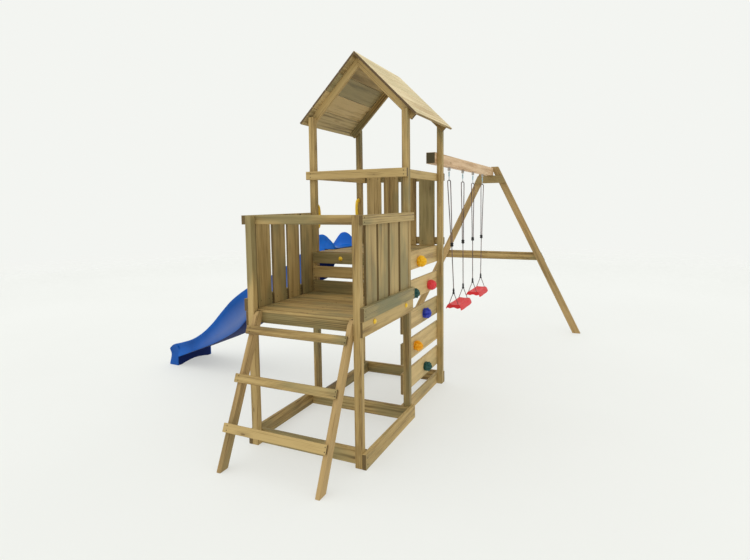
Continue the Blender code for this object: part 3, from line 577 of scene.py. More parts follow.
def roof_slope(side, sign, cover, timber):
    """One slope: four boards that run along the ridge, and the two rafters under them."""
    middle = 0.5 * WIDTH
    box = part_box(f"roof_{side}")
    ys = (box[0].y - ORIGIN.y, box[1].y - ORIGIN.y)
    drop = BOARD * ROOT_2
    lean = BOARD / ROOT_2
    place = Matrix.Translation((middle, 0.5 * (ys[0] + ys[1]), 0.0)) @ Matrix(
        ((0.0, sign, 0.0, 0.0), (1.0, 0.0, 0.0, 0.0), (0.0, 0.0, 1.0, 0.0), (0.0, 0.0, 0.0, 1.0)))
    boards = Boards(51 + int(sign))
    for i, (start, end) in enumerate(zip(ROOF_JOINTS, ROOF_JOINTS[1:])):
        boards.look = ROOF_LOOKS[i] if side == "left" else None
        upper = (start + (ROOF_OPEN if i else GAP)) / ROOT_2
        lower = (end - ROOF_OPEN) / ROOT_2
        # The top board's ridge edge is upright, all other edges are square to the slope.
        inner = (upper - lean, ROOF_APEX - upper - lean) if i else (upper, ROOF_APEX - upper - drop)
        section = ((upper, ROOF_APEX - upper), (lower, ROOF_APEX - lower),
                   (lower - lean, ROOF_APEX - lower - 0.5 * drop), inner)
        boards.bar(section, ys[1] - ys[0] - 0.002 * (i % 2), place)
    boards.finish(f"roof_cover_{side}", cover, f"roof_{side}", "roof_timber", 0.0018)

    boards = Boards(61 + int(sign))
    reach = RAFTER_RUN * ROOT_2
    outline = ((0.0, 0.0), (reach, 0.0), (reach, -RAFTER_DEPTH), (RAFTER_DEPTH, -RAFTER_DEPTH))
    down = Vector((sign, 0.0, -1.0)).normalized()
    out = Vector((sign, 0.0, 1.0)).normalized()
    turn = Matrix((down, out, down.cross(out))).transposed().to_4x4()
    for y, tone in zip((MID_END, BACK_Y - RAIL), RAFTER_TONES):
        boards.look = (tone, 0.0)
        corner = Vector((middle + sign * GAP, y + 0.5 * RAIL, ROOF_APEX - drop - GAP))
        boards.flat(outline, RAIL - GAP, Matrix.Translation(corner) @ turn)
    boards.finish(f"rafters_{side}", timber, f"roof_{side}")


# ---- turned and swept shapes
def around(count):
    return [2.0 * math.pi * k / count for k in range(count)]


def skin(bm, rings, closed=False):
    """Faces along a row of rings, which closes on itself or ends in a cap at each end."""
    for ring, following in zip(rings, rings[1:] + rings[:1] if closed else rings[1:]):
        count = len(ring)
        for k in range(count):
            j = (k + 1) % count
            bm.faces.new((ring[k], ring[j], following[j], following[k]))
    if not closed:
        bm.faces.new(rings[0])
        bm.faces.new(rings[-1][::-1])


def turned(bm, profile, segments, place, shape=None, closed=False):
    """Turn (radius, height) pairs about an axis.  shape(radius, height, angle) may push a point."""
    rings = []
    for radius, height in profile:
        ring = []
        for angle in around(segments):
            r, h = shape(radius, height, angle) if shape else (radius, height)
            ring.append(bm.verts.new(place(r * math.cos(angle), r * math.sin(angle), h)))
        rings.append(ring)
    skin(bm, rings, closed)


def smooth_curve(points, per_span):
    """Points along a Catmull-Rom curve through the given ones."""
    points = [Vector(p) for p in points]
    found = []
    for i in range(len(points) - 1):
        p0 = points[max(i - 1, 0)]
        p1, p2 = points[i], points[i + 1]
        p3 = points[min(i + 2, len(points) - 1)]
        for k in range(per_span):
            t = k / per_span
            found.append(0.5 * ((2 * p1) + (p2 - p0) * t + (2 * p0 - 5 * p1 + 4 * p2 - p3) * t * t
                                + (3 * p1 - p0 - 3 * p2 + p3) * t ** 3))
    found.append(points[-1])
    return found


def sweep(bm, points, section, closed=False, layer=None):
    """Sweep section(along) -> (radius, angle) pairs along points without twisting."""
    count = len(points)
    tangents = []
    for i in range(count):
        ahead, behind = (i + 1) % count, i - 1
        if not closed:
            ahead, behind = min(i + 1, count - 1), max(i - 1, 0)
        tangents.append((points[ahead] - points[behind]).normalized())
    normal = tangents[0].orthogonal().normalized()
    rings = []
    along = 0.0
    for i, (point, tangent) in enumerate(zip(points, tangents)):
        if i:
            along += (point - points[i - 1]).length
        normal = (normal - tangent * normal.dot(tangent)).normalized()
        side = tangent.cross(normal)
        ring = []
        for radius, angle in section(along):
            outward = math.cos(angle) * normal + math.sin(angle) * side
            vert = bm.verts.new(point + radius * outward)
            if layer:
                vert[layer] = (along, angle, 0.0)
            ring.append(vert)
        rings.append(ring)
    skin(bm, rings, closed)


def round_section(radius, sides=12):
    ring = [(radius, angle) for angle in around(sides)]
    return lambda along: ring


def rope_section(radius, lay=0.036):
    """Three strands that wind round each other once in each lay."""
    def section(along):
        turn = 2.0 * math.pi * along / lay
        return [(radius * (0.86 + 0.14 * abs(math.cos(1.5 * (angle - turn)))), angle)
                for angle in around(15)]
    return section


def even(points, step):
    """The same path with points a step apart."""
    found = [points[0]]
    left = step
    for a, b in zip(points, points[1:]):
        length = (b - a).length
        while length >= left:
            a = a + (b - a) * (left / length)
            found.append(a)
            length = (b - a).length
            left = step
        left -= length
    return found + [points[-1]]


# ---- climbing holds
# node, lobes, how deep they are cut, how knobbly, seed
HOLDS = (
    ("hold_green_low", 6, 0.22, 0.3, 3.1),
    ("hold_orange", 6, 0.34, 0.3, 7.7),
    ("hold_blue", 5, 0.4, 0.28, 12.4),
    ("hold_green_high", 6, 0.22, 0.3, 17.9),
    ("hold_red", 7, 0.1, 0.16, 21.3),
    ("hold_yellow", 8, 0.2, 0.3, 29.6),
)
HOLD_COLOURS = {
    "yellow": ((1.0, 0.56, 0.003), (1.0, 0.7, 0.12)),
    "orange": ((0.98, 0.44, 0.003), (1.0, 0.56, 0.09)),
    "red": ((0.83, 0.045, 0.055), (0.86, 0.14, 0.14)),
    "blue": ((0.026, 0.052, 0.48), (0.09, 0.13, 0.58)),
    "green": ((0.008, 0.08, 0.068), (0.04, 0.15, 0.13)),
}
HOLD_CROWN = 0.015  # radius of the flat round a hold's bolt
HOLD_BORE = 0.0062
HOLD_LOWEST = -0.7  # angle of its side's lowest row, from its widest one
HOLD_ROWS, HOLD_SEGMENTS = 34, 84
BOLT_HEAD = 0.01


def climbing_hold(node, lobes, cut, knobbly, seed, material):
    """A cast hold: lobes round its edge, knobs and dents over its face, a recess for its bolt."""
    low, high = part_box(node)
    bolt_low, bolt_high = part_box(node.replace("hold", "bolt"))
    middle = 0.5 * (bolt_low + bolt_high)
    centre = Vector((low.x, middle.y, middle.z))
    radius = min(high.y - centre.y, centre.y - low.y, high.z - centre.z, centre.z - low.z) - 0.0005
    height = high.x - low.x
    seat = bolt_high.x - BOLT_HEAD - low.x

    def reach(angle):
        return HOLD_CROWN + (radius - HOLD_CROWN) * max(0.0, math.cos(angle)) ** 0.9

    foot = reach(HOLD_LOWEST)
    profile = [(HOLD_BORE, 0.0), (0.5 * foot, 0.0), (0.9 * foot, 0.0)]
    for k in range(HOLD_ROWS + 1):
        angle = HOLD_LOWEST + (QUARTER - HOLD_LOWEST) * k / HOLD_ROWS
        rise = (math.sin(angle) - math.sin(HOLD_LOWEST)) / (1.0 - math.sin(HOLD_LOWEST))
        profile.append((reach(angle), 0.0015 + (height - 0.0025) * rise))
    profile += [(0.0118, height - 0.004), (0.0104, height - 0.01), (0.0102, seat + 0.001),
                (0.01, seat), (HOLD_BORE, seat)]

    def shape(r, h, angle):
        if r <= HOLD_CROWN + 0.0002 or h <= 0.0:
            return r, h
        share = min(1.0, (r - HOLD_CROWN) / (0.4 * radius))
        ray = Vector((math.cos(angle) * r, math.sin(angle) * r, h)) / radius
        knobs = noise.noise(ray * 2.4 + Vector((seed, 0.0, seed)))
        dents = noise.noise(ray * 5.5 + Vector((0.0, seed, 0.0)))
        valley = 1.0 - abs(math.cos(0.5 * lobes * angle + seed))
        rim = 1.0 - cut * valley ** 1.4 - knobbly * (0.35 - 0.7 * knobs) - 0.1 * knobbly * dents
        lift = 1.0 - knobbly * (0.3 - 0.6 * dents) - 0.35 * cut * valley
        rim, lift = (1.0 + share * (min(factor, 1.0) - 1.0) for factor in (rim, lift))
        return r * rim, h * lift

    bm = bmesh.new()
    turned(bm, profile, HOLD_SEGMENTS, lambda a, b, c: centre + Vector((c, a, b)), shape, True)
    place_piece(f"{node}_cast", bm, material, replaced=node,
                sharp=60.0)


# ---- slide
SLIDE_FOOT = (-2.14, 1.572)
SLIDE_SKEW = math.radians(2.9)
SLIDE_START = -2.268  # distances along the slide are 0 at the foot
SLIDE_END = 0.138
SLIDE_HALF_WIDTH = (0.243, 0.275)
# Heights of the floor, of the side walls' rims and of their skirts' lower edges, by distance.
SLIDE_FLOOR = ((-2.268, 1.506), (-2.12, 1.508), (-2.0, 1.452), (-1.865, 1.362), (-1.671, 1.209),
               (-1.477, 1.073), (-1.285, 0.909), (-1.095, 0.689), (-0.981, 0.574), (-0.868, 0.501),
               (-0.615, 0.371), (-0.218, 0.21), (0.002, 0.125), (0.138, 0.083))
SLIDE_RIM = ((-2.268, 1.514), (-2.243, 1.56), (-2.19, 1.609), (-2.165, 1.63), (-2.12, 1.646),
             (-2.08, 1.64), (-2.039, 1.604), (-1.972, 1.522), (-1.875, 1.456), (-1.69, 1.32),
             (-1.477, 1.202), (-1.148, 1.046), (-0.892, 0.881), (-0.732, 0.734), (-0.567, 0.572),
             (-0.399, 0.44), (-0.228, 0.348), (-0.055, 0.291), (0.087, 0.249), (0.138, 0.209))
SLIDE_SKIRT = ((-2.12, 1.48), (-2.02, 1.4), (-1.96, 1.262), (-1.9, 1.14), (-1.7, 1.062),
               (-1.477, 1.0), (-1.285, 0.882), (-1.095, 0.668), (-0.981, 0.554))
SLIDE_ON_DECK = -2.16  # from here back, its underside rests on the high deck
# The outside of a wall below its rim, as shares of the waist's depth and of the wall's height:
# it draws in and sweeps out again to its lower edge.
SLIDE_WAIST = ((0.1, 0.1), (0.4, 0.24), (0.8, 0.4), (1.0, 0.56), (0.9, 0.7), (0.55, 0.82))
# Its inside, as metres in from the edge and shares of the height above the floor.
SLIDE_INSIDE = ((0.041, 0.72), (0.048, 0.45), (0.06, 0.2), (0.078, 0.07), (0.105, 0.02))
SLIDE_UNDER_POINTS = 7  # how many points of the half section lie underneath, coloured with painted shade
SLIDE_SHEEN_BAND = (11, 4.0)  # the band of painted sheen: its middle point and its half width
SLIDE_SHEEN_REACH = (-1.15, 0.85)  # where that band is strongest, and how far it reaches
SLIDE_EARS = (-1.92, 0.12)  # where the ears and their painted light begin, and over what length
LIP = 0.006
RIM_ROLL = 0.013


def smooth_value(table, x):
    """Read a height from (x, height) pairs along a smooth curve that never overshoots."""
    if x <= table[0][0]:
        return table[0][1]
    if x >= table[-1][0]:
        return table[-1][1]
    slopes = [(b[1] - a[1]) / (b[0] - a[0]) for a, b in zip(table, table[1:])]
    i = next(k for k in range(len(slopes)) if table[k][0] <= x <= table[k + 1][0])

    def tangent(k):
        if k == 0:
            return slopes[0]
        if k == len(slopes):
            return slopes[-1]
        if slopes[k - 1] * slopes[k] <= 0.0:
            return 0.0
        return 2.0 * slopes[k - 1] * slopes[k] / (slopes[k - 1] + slopes[k])

    width = table[i + 1][0] - table[i][0]
    t = (x - table[i][0]) / width
    return ((2 * t**3 - 3 * t**2 + 1) * table[i][1] + (t**3 - 2 * t**2 + t) * width * tangent(i)
            + (3 * t**2 - 2 * t**3) * table[i + 1][1] + (t**3 - t**2) * width * tangent(i + 1))


def slide_section(s):
    """The right half of the slide's section, from the middle underneath round to the floor."""
    share = (s - SLIDE_START) / (SLIDE_END - SLIDE_START)
    half = SLIDE_HALF_WIDTH[0] + (SLIDE_HALF_WIDTH[1] - SLIDE_HALF_WIDTH[0]) * share
    floor = smooth_value(SLIDE_FLOOR, s)
    rim = max(smooth_value(SLIDE_RIM, s), floor + 0.008)
    wall = rim - floor
    under = floor - 0.018
    skirt = under
    if s < SLIDE_ON_DECK:
        under = skirt = HIGH_DECK + GAP
    elif s < SLIDE_SKIRT[-1][0]:
        skirt = min(under, smooth_value(SLIDE_SKIRT, s))
    arch = under
    if s > -0.001:
        under, arch, skirt = 0.0, 0.03, 0.0
    points = [(0.0, arch), (0.25 * half, arch - 0.15 * (arch - under)),
              (0.6 * half, arch - 0.6 * (arch - under)), (half - 0.06, under),
              (half - 0.032, under + 0.3 * (skirt - under)), (half - 0.024, skirt + 0.002),
              (half - 0.018, skirt), (half - 0.006, skirt), (half - 0.001, skirt + 0.4 * LIP),
              (half, skirt + LIP)]
    side = rim - skirt
    waist = 0.03 * min(1.0, wall / 0.12)
    points += [(half - inward * waist, skirt + up * side) for inward, up in SLIDE_WAIST]
    points.append((half - 0.012, rim - 0.12 * side))
    roll = min(RIM_ROLL, 0.25 * wall)
    middle = half - 0.01 - RIM_ROLL
    for k in range(9):
        angle = math.pi * k / 8.0
        points.append((middle + RIM_ROLL * math.cos(angle), rim - roll + roll * math.sin(angle)))
    points += [(half - inward, floor + up * wall) for inward, up in SLIDE_INSIDE]
    return points + [(0.45 * half, floor), (0.2 * half, floor), (0.0, floor)]


def make_slide(material):
    along = Vector((-math.cos(SLIDE_SKEW), math.sin(SLIDE_SKEW), 0.0))
    across = Vector((math.sin(SLIDE_SKEW), math.cos(SLIDE_SKEW), 0.0))
    foot = plan(*SLIDE_FOOT, 0.0)
    steps = 132
    stations = [SLIDE_START + (SLIDE_END - SLIDE_START) * k / steps for k in range(steps + 1)]
    stations = [s for s in stations if abs(s) > 0.012 and abs(s - SLIDE_ON_DECK) > 0.004]
    stations += [-0.0011, 0.0, SLIDE_ON_DECK - 0.001, SLIDE_ON_DECK + 0.001,
                 SLIDE_START + 0.004, SLIDE_END - 0.004]
    stations.sort()
    bm = bmesh.new()
    layers = bm.verts.layers.float
    shade, sheen, bright = (layers.new(name) for name in ("under", "sheen", "bright"))
    rings = []
    for s in stations:
        ears = min(1.0, max(0.0, (SLIDE_EARS[0] - s) / SLIDE_EARS[1]))
        pale = max(0.0, 1.0 - ((s - SLIDE_SHEEN_REACH[0]) / SLIDE_SHEEN_REACH[1]) ** 2)
        half = slide_section(s)
        full = half + [(-a, b) for a, b in half[-2:0:-1]]
        ring = []
        for i, (a, b) in enumerate(full):
            vert = bm.verts.new(foot + along * s + across * a + Vector((0.0, 0.0, b)))
            index = min(i, len(full) - i)
            band = max(0.0, 1.0 - abs(index - SLIDE_SHEEN_BAND[0]) / SLIDE_SHEEN_BAND[1])
            # points underneath get the painted shade
            vert[shade] = float(index < SLIDE_UNDER_POINTS)
            # the ears get painted light
            vert[bright] = ears
            # the low outer wall gets painted sheen, strongest partway down the slide
            vert[sheen] = band * pale
            ring.append(vert)
        rings.append(ring)
    skin(bm, rings)
    place_piece("slide_trough", bm, material, replaced="slide", sharp=50.0)


# ---- grab handles, caps and screws
HANDLE_RADIUS = 0.0168
HANDLE_FOOT = ((0.01, 0.0005), (0.0205, 0.0005), (0.0225, 0.003), (0.0215, 0.008),
               (0.017, 0.013), (0.014, 0.02))
CAP = ((0.006, 0.0002), (0.019, 0.0002), (0.0203, 0.0015), (0.0205, 0.0042), (0.019, 0.006),
       (0.0178, 0.0066), (0.017, 0.0086), (0.0145, 0.0118), (0.01, 0.0142), (0.0045, 0.0155),
       (0.0012, 0.0158))
SMALL_SCREW, BIG_SCREW = 0.0042, 0.005
PAIR, WIDE_PAIR = (0.22, 0.78), (0.25, 0.75)  # where two screws sit, as shares of a board's width
LEFT, RIGHTWARD = (-1.0, 0.0, 0.0), (1.0, 0.0, 0.0)
FORWARD, BACKWARD, UP = (0.0, -1.0, 0.0), (0.0, 1.0, 0.0), (0.0, 0.0, 1.0)


def grab_handle(where, material, screws):
    """A bowed tube that flattens into a foot at each end."""
    low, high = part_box(f"grab_handle_{where}")
    out = 1.0 if where == "front" else -1.0
    wall = low.y if where == "front" else high.y
    x = 0.5 * (low.x + high.x)
    middle, half = 0.5 * (low.z + high.z), 0.5 * (high.z - low.z)
    depth = high.y - low.y
    path = []
    for k in range(41):
        angle = math.pi * k / 40.0
        bow = math.sin(angle) ** 0.62
        path.append(Vector((x, wall + out * (0.01 + (depth - 0.01 - HANDLE_RADIUS) * bow),
                            middle + (half - 0.022) * math.cos(angle))))
    bm = bmesh.new()
    sweep(bm, path, round_section(HANDLE_RADIUS, 16))
    place_piece(f"grab_bow_{where}", bm, material,
                replaced=f"grab_handle_{where}")
    bm = bmesh.new()
    for end in (-1.0, 1.0):
        foot = Vector((x, wall, middle + end * (half - 0.024)))

        def place(a, b, c, foot=foot):
            return foot + Vector((0.62 * a, out * c, b))
        turned(bm, HANDLE_FOOT, 28, place)
        screws.append((foot + Vector((0.0, out * 0.0215, 0.0)), (0.0, out, 0.0), 0.0045))
    place_piece(f"grab_feet_{where}", bm, material)


def cap_places():
    """Where the round caps sit over the panel bolts: (place, outward)."""
    found = []
    for y in (0.201, 0.85):
        found.append((plan(WIDTH + BOARD, y, 1.07), RIGHTWARD))
        found.append((plan(-BOARD, y, 1.07), LEFT))
    low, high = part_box("riser_board_3")
    for x in (0.334, WIDTH - 0.334):
        found.append((Vector((ORIGIN.x + x, low.y, 0.5 * (low.z + high.z))), FORWARD))
    return found


def on_face(point, outward):
    """A function that places (a, b, height) on a face with that outward normal."""
    outward = Vector(outward)
    side = outward.orthogonal().normalized()
    other = outward.cross(side)
    return lambda a, b, c: point + side * a + other * b + outward * c


def make_caps(material):
    bm = bmesh.new()
    for point, outward in cap_places():
        turned(bm, CAP, 32, on_face(point, outward))
    place_piece("panel_bolt_caps", bm, material)


def shares(span, *parts):
    """Places at these shares of the way along a span."""
    return [span[0] + part * (span[1] - span[0]) for part in parts]


def board_screws():
    """Screws where boards cross what carries them: (place, outward, radius)."""
    found = []

    def put(xs, ys, zs, outward, radius=SMALL_SCREW):
        for x, y, z in itertools.product(xs, ys, zs):
            found.append((plan(x, y, z), outward, radius))

    low_xs = (POST + 0.5 * RAIL, 0.5 * WIDTH, INNER - 0.5 * RAIL)
    high_xs = (POST + 0.5 * RAIL, 0.5 * WALL_BACK, WALL_BACK - 0.03)
    for ends, count, xs, top in (((POST, MID_Y), 6, low_xs, LOW_DECK),
                                 ((MID_Y, BACK_END), 7, high_xs, HIGH_DECK)):
        for ys in spread(*ends, count, DECK_GAP):
            put(xs, shares(ys, *PAIR), (top,), UP)
    for node in ("wall_base_board", *(f"wall_board_{k}" for k in range(1, 6))):
        low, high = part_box(node)
        for z in shares((low.z, high.z), *WIDE_PAIR):
            put((WALL_BACK,), (MID_Y + 0.5 * POST, BACK_Y + 0.5 * POST), (z,), LEFT)
    for x, outward in ((BOARD, RIGHTWARD), (WIDTH - BOARD, LEFT)):
        for ys in SIDE_SLATS:
            put((x,), shares(ys, *PAIR), (1.165, LOW_RAIL_TOP - 0.5 * LOW_RAIL), outward)
    for xs in spread(*BACK_SLATS):
        put(shares(xs, *PAIR), (BACK_END - BOARD,),
            (HIGH_DECK + 0.045, HIGH_RAIL_TOP - 0.5 * HIGH_RAIL), FORWARD)
    for k in range(1, 4):
        low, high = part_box(f"riser_board_{k}")
        put((0.044, WIDTH - 0.044), (low.y - ORIGIN.y,), shares((low.z, high.z), *WIDE_PAIR),
            FORWARD)
    base_zs = (0.035, 0.085)
    side_zs = (LOW_BOTTOM_RAIL[0] + 0.03, LOW_BOTTOM_RAIL[1] - 0.025,
               LOW_RAIL_TOP - 0.052, LOW_RAIL_TOP - 0.02)
    top_zs = (HIGH_RAIL_TOP - 0.055, HIGH_RAIL_TOP - 0.022)
    for y in (0.5 * POST, MID_Y + 0.5 * POST):
        for x, outward in ((-RAIL, LEFT), (WIDTH + RAIL, RIGHTWARD)):
            put((x,), (y,), base_zs + side_zs, outward, BIG_SCREW)
    for x in (0.5 * POST, WIDTH - 0.5 * POST):
        put((x,), (MID_Y - RAIL,), top_zs, FORWARD, BIG_SCREW)
        put((x,), (BACK_END + RAIL,), (*base_zs, HIGH_DECK + 0.03, HIGH_DECK + 0.062, *top_zs),
            BACKWARD, BIG_SCREW)
    lean = ladder_lean()
    outward = Vector((0.0, -math.cos(lean), math.sin(lean)))
    up = Vector((0.0, math.sin(lean), math.cos(lean)))
    for k in range(1, 4):
        low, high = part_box(f"ladder_rung_{k}")
        centre = 0.5 * (low + high) + outward * 0.0109
        aside = LADDER_SKEW * (LOW_DECK - centre.z)
        for x in (POST + 0.024, WIDTH - POST - 0.019):
            for rise in (-0.016, 0.016):
                point = Vector((ORIGIN.x + x - aside, centre.y, centre.z)) + up * rise
                found.append((point, outward, SMALL_SCREW))
    return found


def ladder_lean():
    low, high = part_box("ladder_rung_1")[0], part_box("ladder_rung_3")[0]
    return math.atan2(high.y - low.y, high.z - low.z)


def make_screws(extra, material):
    """Countersunk screw heads, flush with the boards, each with a sunk centre."""
    bm = bmesh.new()
    for point, outward, r in board_screws() + extra:
        profile = ((r, -0.001), (r, 0.0003), (0.9 * r, 0.0007), (0.5 * r, 0.0008),
                   (0.42 * r, -0.0008), (0.1 * r, -0.0014))
        turned(bm, profile, 12, on_face(point, outward))
    place_piece("board_screws", bm, material, sharp=50.0)


# ---- swings
ROPE = 0.0055  # the rope's radius, and the length of each step along its mesh
ROPE_STEP = 0.0045
# Heights of the hook, adjuster, clip and seat, and half the distance between a seat's straps.
HOOK_LOW = 2.196
RING_MIDDLE = 2.2255
ADJUSTER_Z = (1.425, 1.475)
CLIP_Z = (0.84, 0.912)
SEAT_TOP = 0.722
STRAP_SPREAD = 0.062
SWINGS = {
    "swing_near": ((2.572, 3.17), (2.77, 3.21)),
    "swing_far": ((3.69, 4.25), (3.71, 4.19)),
}
BARREL = ((0.003, 2.249), (0.0066, 2.249), (0.0082, 2.252), (0.0088, 2.26),
          (0.0074, 2.268), (0.0074, 2.276), (0.009, 2.283), (0.009, 2.292),
          (0.0075, 2.299), (0.006, 2.303), (0.003, 2.303))
BUSH = ((0.005, -0.0125), (0.0098, -0.0125), (0.0105, -0.011), (0.0105, 0.011),
        (0.0098, 0.0125), (0.005, 0.0125))
CLIP = ((0.006, CLIP_Z[0]), (0.0135, CLIP_Z[0]), (0.015, CLIP_Z[0] + 0.004),
        (0.014, CLIP_Z[0] + 0.02), (0.0105, CLIP_Z[0] + 0.026), (0.0105, CLIP_Z[0] + 0.032),
        (0.0128, CLIP_Z[0] + 0.037), (0.0115, CLIP_Z[1] - 0.018), (0.0085, CLIP_Z[1] - 0.006),
        (0.0068, CLIP_Z[1]), (0.004, CLIP_Z[1]))


def squared(value, power):
    """Bring a sine or cosine nearer to its sign, so a circle of them becomes squarer."""
    return math.copysign(abs(value) ** power, value)


def swing_rope(body, side, top_y, clip_y, materials):
    """One of a swing's two ropes: hook, doubled rope, adjuster, single rope, clip and straps."""
    def at(z):
        share = (HOOK_LOW - z) / (HOOK_LOW - CLIP_Z[1])
        return top_y + (clip_y - top_y) * max(0.0, share)

    bm = bmesh.new()
    lay = bm.verts.layers.float_vector.new("lay")
    crown = HOOK_LOW + 0.012
    low = ADJUSTER_Z[1] - 0.006
    half = [(-0.0075, low), (-0.0085, low + 0.16), (-0.0125, low + 0.4), (-0.0165, crown - 0.12),
            (-0.017, crown - 0.045)]
    turn = [math.pi * k / 8.0 for k in range(9)]
    bend = [(-0.017 * math.cos(a), crown - 0.017 + 0.017 * math.sin(a)) for a in turn]
    loop = half + bend + [(-x, z) for x, z in reversed(half)]
    doubled = smooth_curve([plan(AXLE_X + x, at(z), z) for x, z in loop], 12)
    single = [plan(AXLE_X, at(z), z) for z in (ADJUSTER_Z[0] + 0.006, CLIP_Z[1] - 0.006)]
    for path in (doubled, single):
        sweep(bm, even(path, ROPE_STEP), rope_section(ROPE), layer=lay)
    for sign in (-1.0, 1.0):
        ends = [plan(AXLE_X + sign * 0.0065, clip_y, CLIP_Z[0] + 0.006),
                plan(AXLE_X + sign * STRAP_SPREAD, clip_y, SEAT_TOP - 0.02)]
        sweep(bm, even(ends, ROPE_STEP), rope_section(0.0045, 0.03), layer=lay)
    place_piece(f"{body}_cordage_{side}", bm, materials["rope"], body,
                f"{body}_rope_{side}", None)

    bm = bmesh.new()
    turned(bm, BARREL, 24, lambda a, b, c: plan(AXLE_X + a, top_y + b, c))
    turned(bm, BUSH, 24, lambda a, b, c: plan(AXLE_X + a, top_y + c, PIVOT_Z + b), closed=True)
    place_piece(f"{body}_bush_{side}", bm, materials["pale_blue"], body)

    bm = bmesh.new()
    ring = [plan(AXLE_X, top_y + 0.0115 * math.sin(a), RING_MIDDLE + 0.026 * math.cos(a))
            for a in around(36)]
    sweep(bm, ring, round_section(0.0028, 10), closed=True)
    neck = [plan(AXLE_X, top_y, z) for z in (2.296, 2.305, 2.3135)]
    sweep(bm, neck, round_section(0.0032))
    collar = [plan(AXLE_X + 0.0125 * math.cos(a), top_y, PIVOT_Z + 0.0125 * math.sin(a))
              for a in around(28)]
    sweep(bm, collar, round_section(0.0024, 10), closed=True)
    place_piece(f"{body}_hook_{side}", bm, materials["steel"], body)

    bm = bmesh.new()
    adjuster = at(ADJUSTER_Z[0])
    rows = 14
    rings = []
    for k in range(rows + 1):
        t = k / rows
        swell = 0.0215 - 0.004 * math.cos(2.0 * math.pi * t) ** 2 - 0.006 * (2.0 * t - 1.0) ** 6
        swell -= 0.0012 * (k % 2)
        z = ADJUSTER_Z[0] + (ADJUSTER_Z[1] - ADJUSTER_Z[0]) * t
        rings.append([bm.verts.new(plan(AXLE_X + swell * squared(math.cos(a), 0.6),
                                        adjuster + 0.0095 * squared(math.sin(a), 0.7), z))
                      for a in around(28)])
    skin(bm, rings)
    turned(bm, CLIP, 24, lambda a, b, c: plan(AXLE_X + a, clip_y + 0.72 * b, c))
    place_piece(f"{body}_clip_{side}", bm, materials["black"], body, sharp=50.0)


def seat_drop(u, v):
    """Depth below the seat's top at u across and v along, both from -1 to 1."""
    roll = max(0.0, (abs(u) - 0.62) / 0.38)
    drop = (0.06 if u > 0.0 else 0.05) * roll ** 2.2
    dish = 0.01 * math.exp(-(u / 0.55) ** 2) * (1.0 - 0.5 * v * v)
    ribs = 0.001 * math.cos(18.0 * math.pi * v) * math.exp(-(u / 0.5) ** 6) * (abs(v) < 0.8)
    lift = -0.004 * v * v
    return 0.006 + drop + dish + lift + ribs


def swing_seat(body, material):
    """A moulded saddle: long edges rolled down, a dished middle with ribs, ends a little raised."""
    low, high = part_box(f"{body}_seat")
    centre_x, middle_y = 0.5 * (low.x + high.x), 0.5 * (low.y + high.y)
    half_x, half_y = 0.5 * (high.x - low.x), 0.5 * (high.y - low.y)
    rows, columns = 60, 36
    bm = bmesh.new()
    rings = []
    for k in range(rows + 1):
        v = -1.0 + 2.0 * k / rows
        narrow = 1.0 - 0.075 * abs(v) ** 5 - 0.05 * math.exp(-(v / 0.35) ** 2)
        y = middle_y + half_y * 0.998 * v
        upper, under = [], []
        for j in range(columns + 1):
            u = -math.cos(math.pi * j / columns)
            x = half_x * 0.995 * u * narrow
            drop = seat_drop(u, v)
            thick = 0.013 * (1.0 if abs(u) < 0.9 else 0.8)
            if abs(v) > 0.93 and abs(u) < 0.97:
                thick = max(thick, 0.048 - 0.006 * math.cos(2.0 * math.pi * u) - drop)
            inward = 1.0 - 0.055 * max(0.0, abs(u) - 0.5) * 2.0
            upper.append(bm.verts.new((centre_x + x, y, SEAT_TOP - drop)))
            under.append(bm.verts.new((centre_x + x * inward, y, SEAT_TOP - drop - thick)))
        rings.append(upper + under[::-1])
    skin(bm, rings)
    place_piece(f"{body}_saddle", bm, material, body, f"{body}_seat", 55.0)


# ---- the whole scene
def dress(looks):
    """Give nodes of the frame a better material, by what their names start with."""
    for node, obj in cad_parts.items():
        for start, material in looks.items():
            if node.startswith(start):
                obj.data.materials.clear()
                obj.data.materials.append(material)


def make_studio():
    """A round floor with a pale world behind it, and one broad, faint light from the front left."""
    bm = bmesh.new()
    profile = [(0.4 + 0.75 * k, -0.0006) for k in range(32)]
    profile += [(profile[-1][0], -0.02), (0.4, -0.02)]
    turned(bm, profile, 48, lambda a, b, c: Vector((a, b, c)))
    new_object("studio_floor", bm, floor_material())
    world = bpy.data.worlds.new("studio")
    bpy.context.scene.world = world
    world.use_nodes = True
    sky = world.node_tree.nodes["Background"]
    sky.inputs["Color"].default_value = BACKDROP
    sky.inputs["Strength"].default_value = 1.0
    bpy.context.scene.view_settings.view_transform = "Standard"
    sun = bpy.data.lights.new("soft_box", "SUN")
    sun.energy = 0.6
    sun.angle = math.radians(80.0)
    lamp = bpy.data.objects.new("soft_box", sun)
    lamp.rotation_euler = Vector((0.35, 0.45, -1.0)).to_track_quat("-Z", "Y").to_euler()
    bpy.context.scene.collection.objects.link(lamp)


def dress_frame():
    """The posts, rails, climbing boards, ladder and swing frame, which keep their own meshes."""
    low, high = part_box("a_frame_leg_right")
    lean = math.atan2(high.x - low.x - 0.108, high.z - low.z)
    looks = {
        "post_": wood("timber_upright", TREATED, ALONG_Z),
        "wall_": wood("timber_wall", WARM, ALONG_Y, 0.35),
        "swing_beam": wood("timber_beam", PINK, ALONG_Y, 0.1, None, BEAM_END),
        "a_frame_leg_right": wood("timber_leg_right", LEG, (0.0, QUARTER + lean, 0.0), 0.2),
        "a_frame_leg_left": wood("timber_leg_left", LEG, (0.0, QUARTER - lean, 0.0), 0.2),
        "a_frame_gusset": wood("timber_gusset", LEG, ALONG_X),
        "ladder_stringer_": wood("timber_stringer", LEG, (ladder_lean(), QUARTER, 0.0)),
    }
    level = wood("timber_level_x", TREATED, ALONG_X)
    for start in ("low_front_rail", "riser_board_", "ladder_rung_", "a_frame_brace"):
        looks[start] = level
    dress(looks)


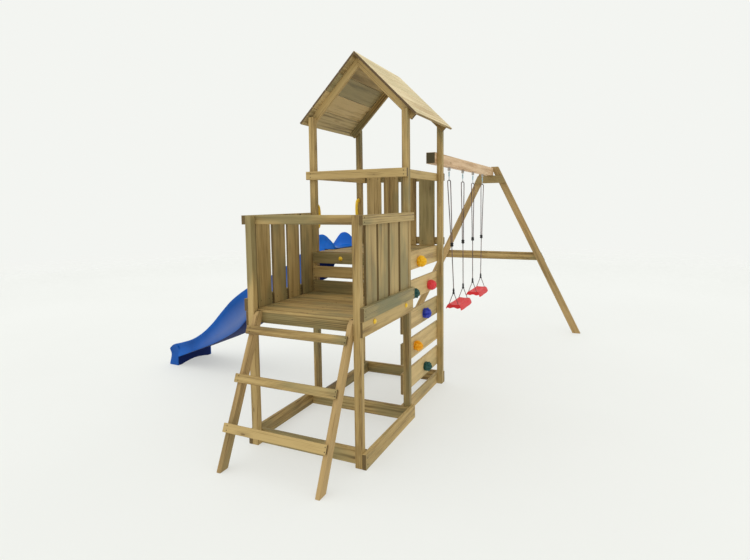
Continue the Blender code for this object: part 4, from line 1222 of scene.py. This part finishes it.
def dress_timber():
    """The joined timber, made again board by board."""
    boards = wood("timber_boards", TREATED)
    base_boards(boards)
    deck_boards("low", 21, (BOARD, WIDTH - BOARD), (POST, MID_Y), 6,
                ((0.0, WIDTH), (POST, MID_Y - RAIL)),
                (POST, 0.5 * (WIDTH - RAIL), INNER - RAIL), LOW_DECK, boards)
    deck_boards("high", 23, (POST, WALL_BACK), (MID_Y, BACK_END), 7,
                ((0.0, WALL_BACK), (MID_END, BACK_Y - RAIL)),
                (POST, 0.5 * (WALL_BACK - RAIL), WALL_BACK - RAIL - 0.015), HIGH_DECK, boards)
    side_panel("left", 0.0, -1.0, boards)
    side_panel("right", WIDTH, 1.0, boards)
    high_rail_boards(boards)
    cover = wood("timber_roof", PALE, None, 0.3, SHADED, ROOF_END)
    for side, sign in (("left", -1.0), ("right", 1.0)):
        roof_slope(side, sign, cover, boards)


def main():
    make_camera()
    make_studio()
    dress_frame()
    dress_timber()
    casts = {name: plastic(f"resin_{name}", colour, worn, 0.6, 650.0, 0.0011, 0.0, 0.2)
             for name, (colour, worn) in HOLD_COLOURS.items()}
    for node, *shape in HOLDS:
        climbing_hold(node, *shape, casts[node.split("_")[1]])
    steel = metal("zinc_steel", (0.6, 0.61, 0.62), 0.32)
    dress({"bolt_": steel, "swing_near_hanger_": steel, "swing_far_hanger_": steel})
    make_slide(slide_plastic())
    yellow = plastic("yellow_plastic", (0.89, 0.56, 0.01), (0.93, 0.7, 0.15),
                     0.34, 300.0, 0.0005, 0.15, 0.15)
    screws = []
    for where in ("front", "back"):
        grab_handle(where, yellow, screws)
    make_caps(yellow)
    make_screws(screws, metal("dull_steel", (0.045, 0.038, 0.03), 0.65))
    materials = {
        "rope": rope_material("laid_rope", (0.185, 0.11, 0.102), (0.05, 0.028, 0.028)),
        "pale_blue": plastic("pale_blue_plastic", (0.42, 0.62, 0.7), (0.62, 0.76, 0.8),
                             0.4, 300.0, 0.0004),
        "steel": steel,
        "black": plastic("black_plastic", (0.014, 0.014, 0.016), (0.05, 0.05, 0.052),
                         0.42, 320.0, 0.0005),
    }
    red = plastic("red_plastic", (0.74, 0.018, 0.024), (0.76, 0.06, 0.06),
                  0.48, 260.0, 0.0006, 0.0, 0.12)
    for body, (tops, clips) in SWINGS.items():
        for side, top_y, clip_y in zip(("near", "far"), tops, clips):
            swing_rope(body, side, top_y, clip_y, materials)
        swing_seat(body, red)


main()
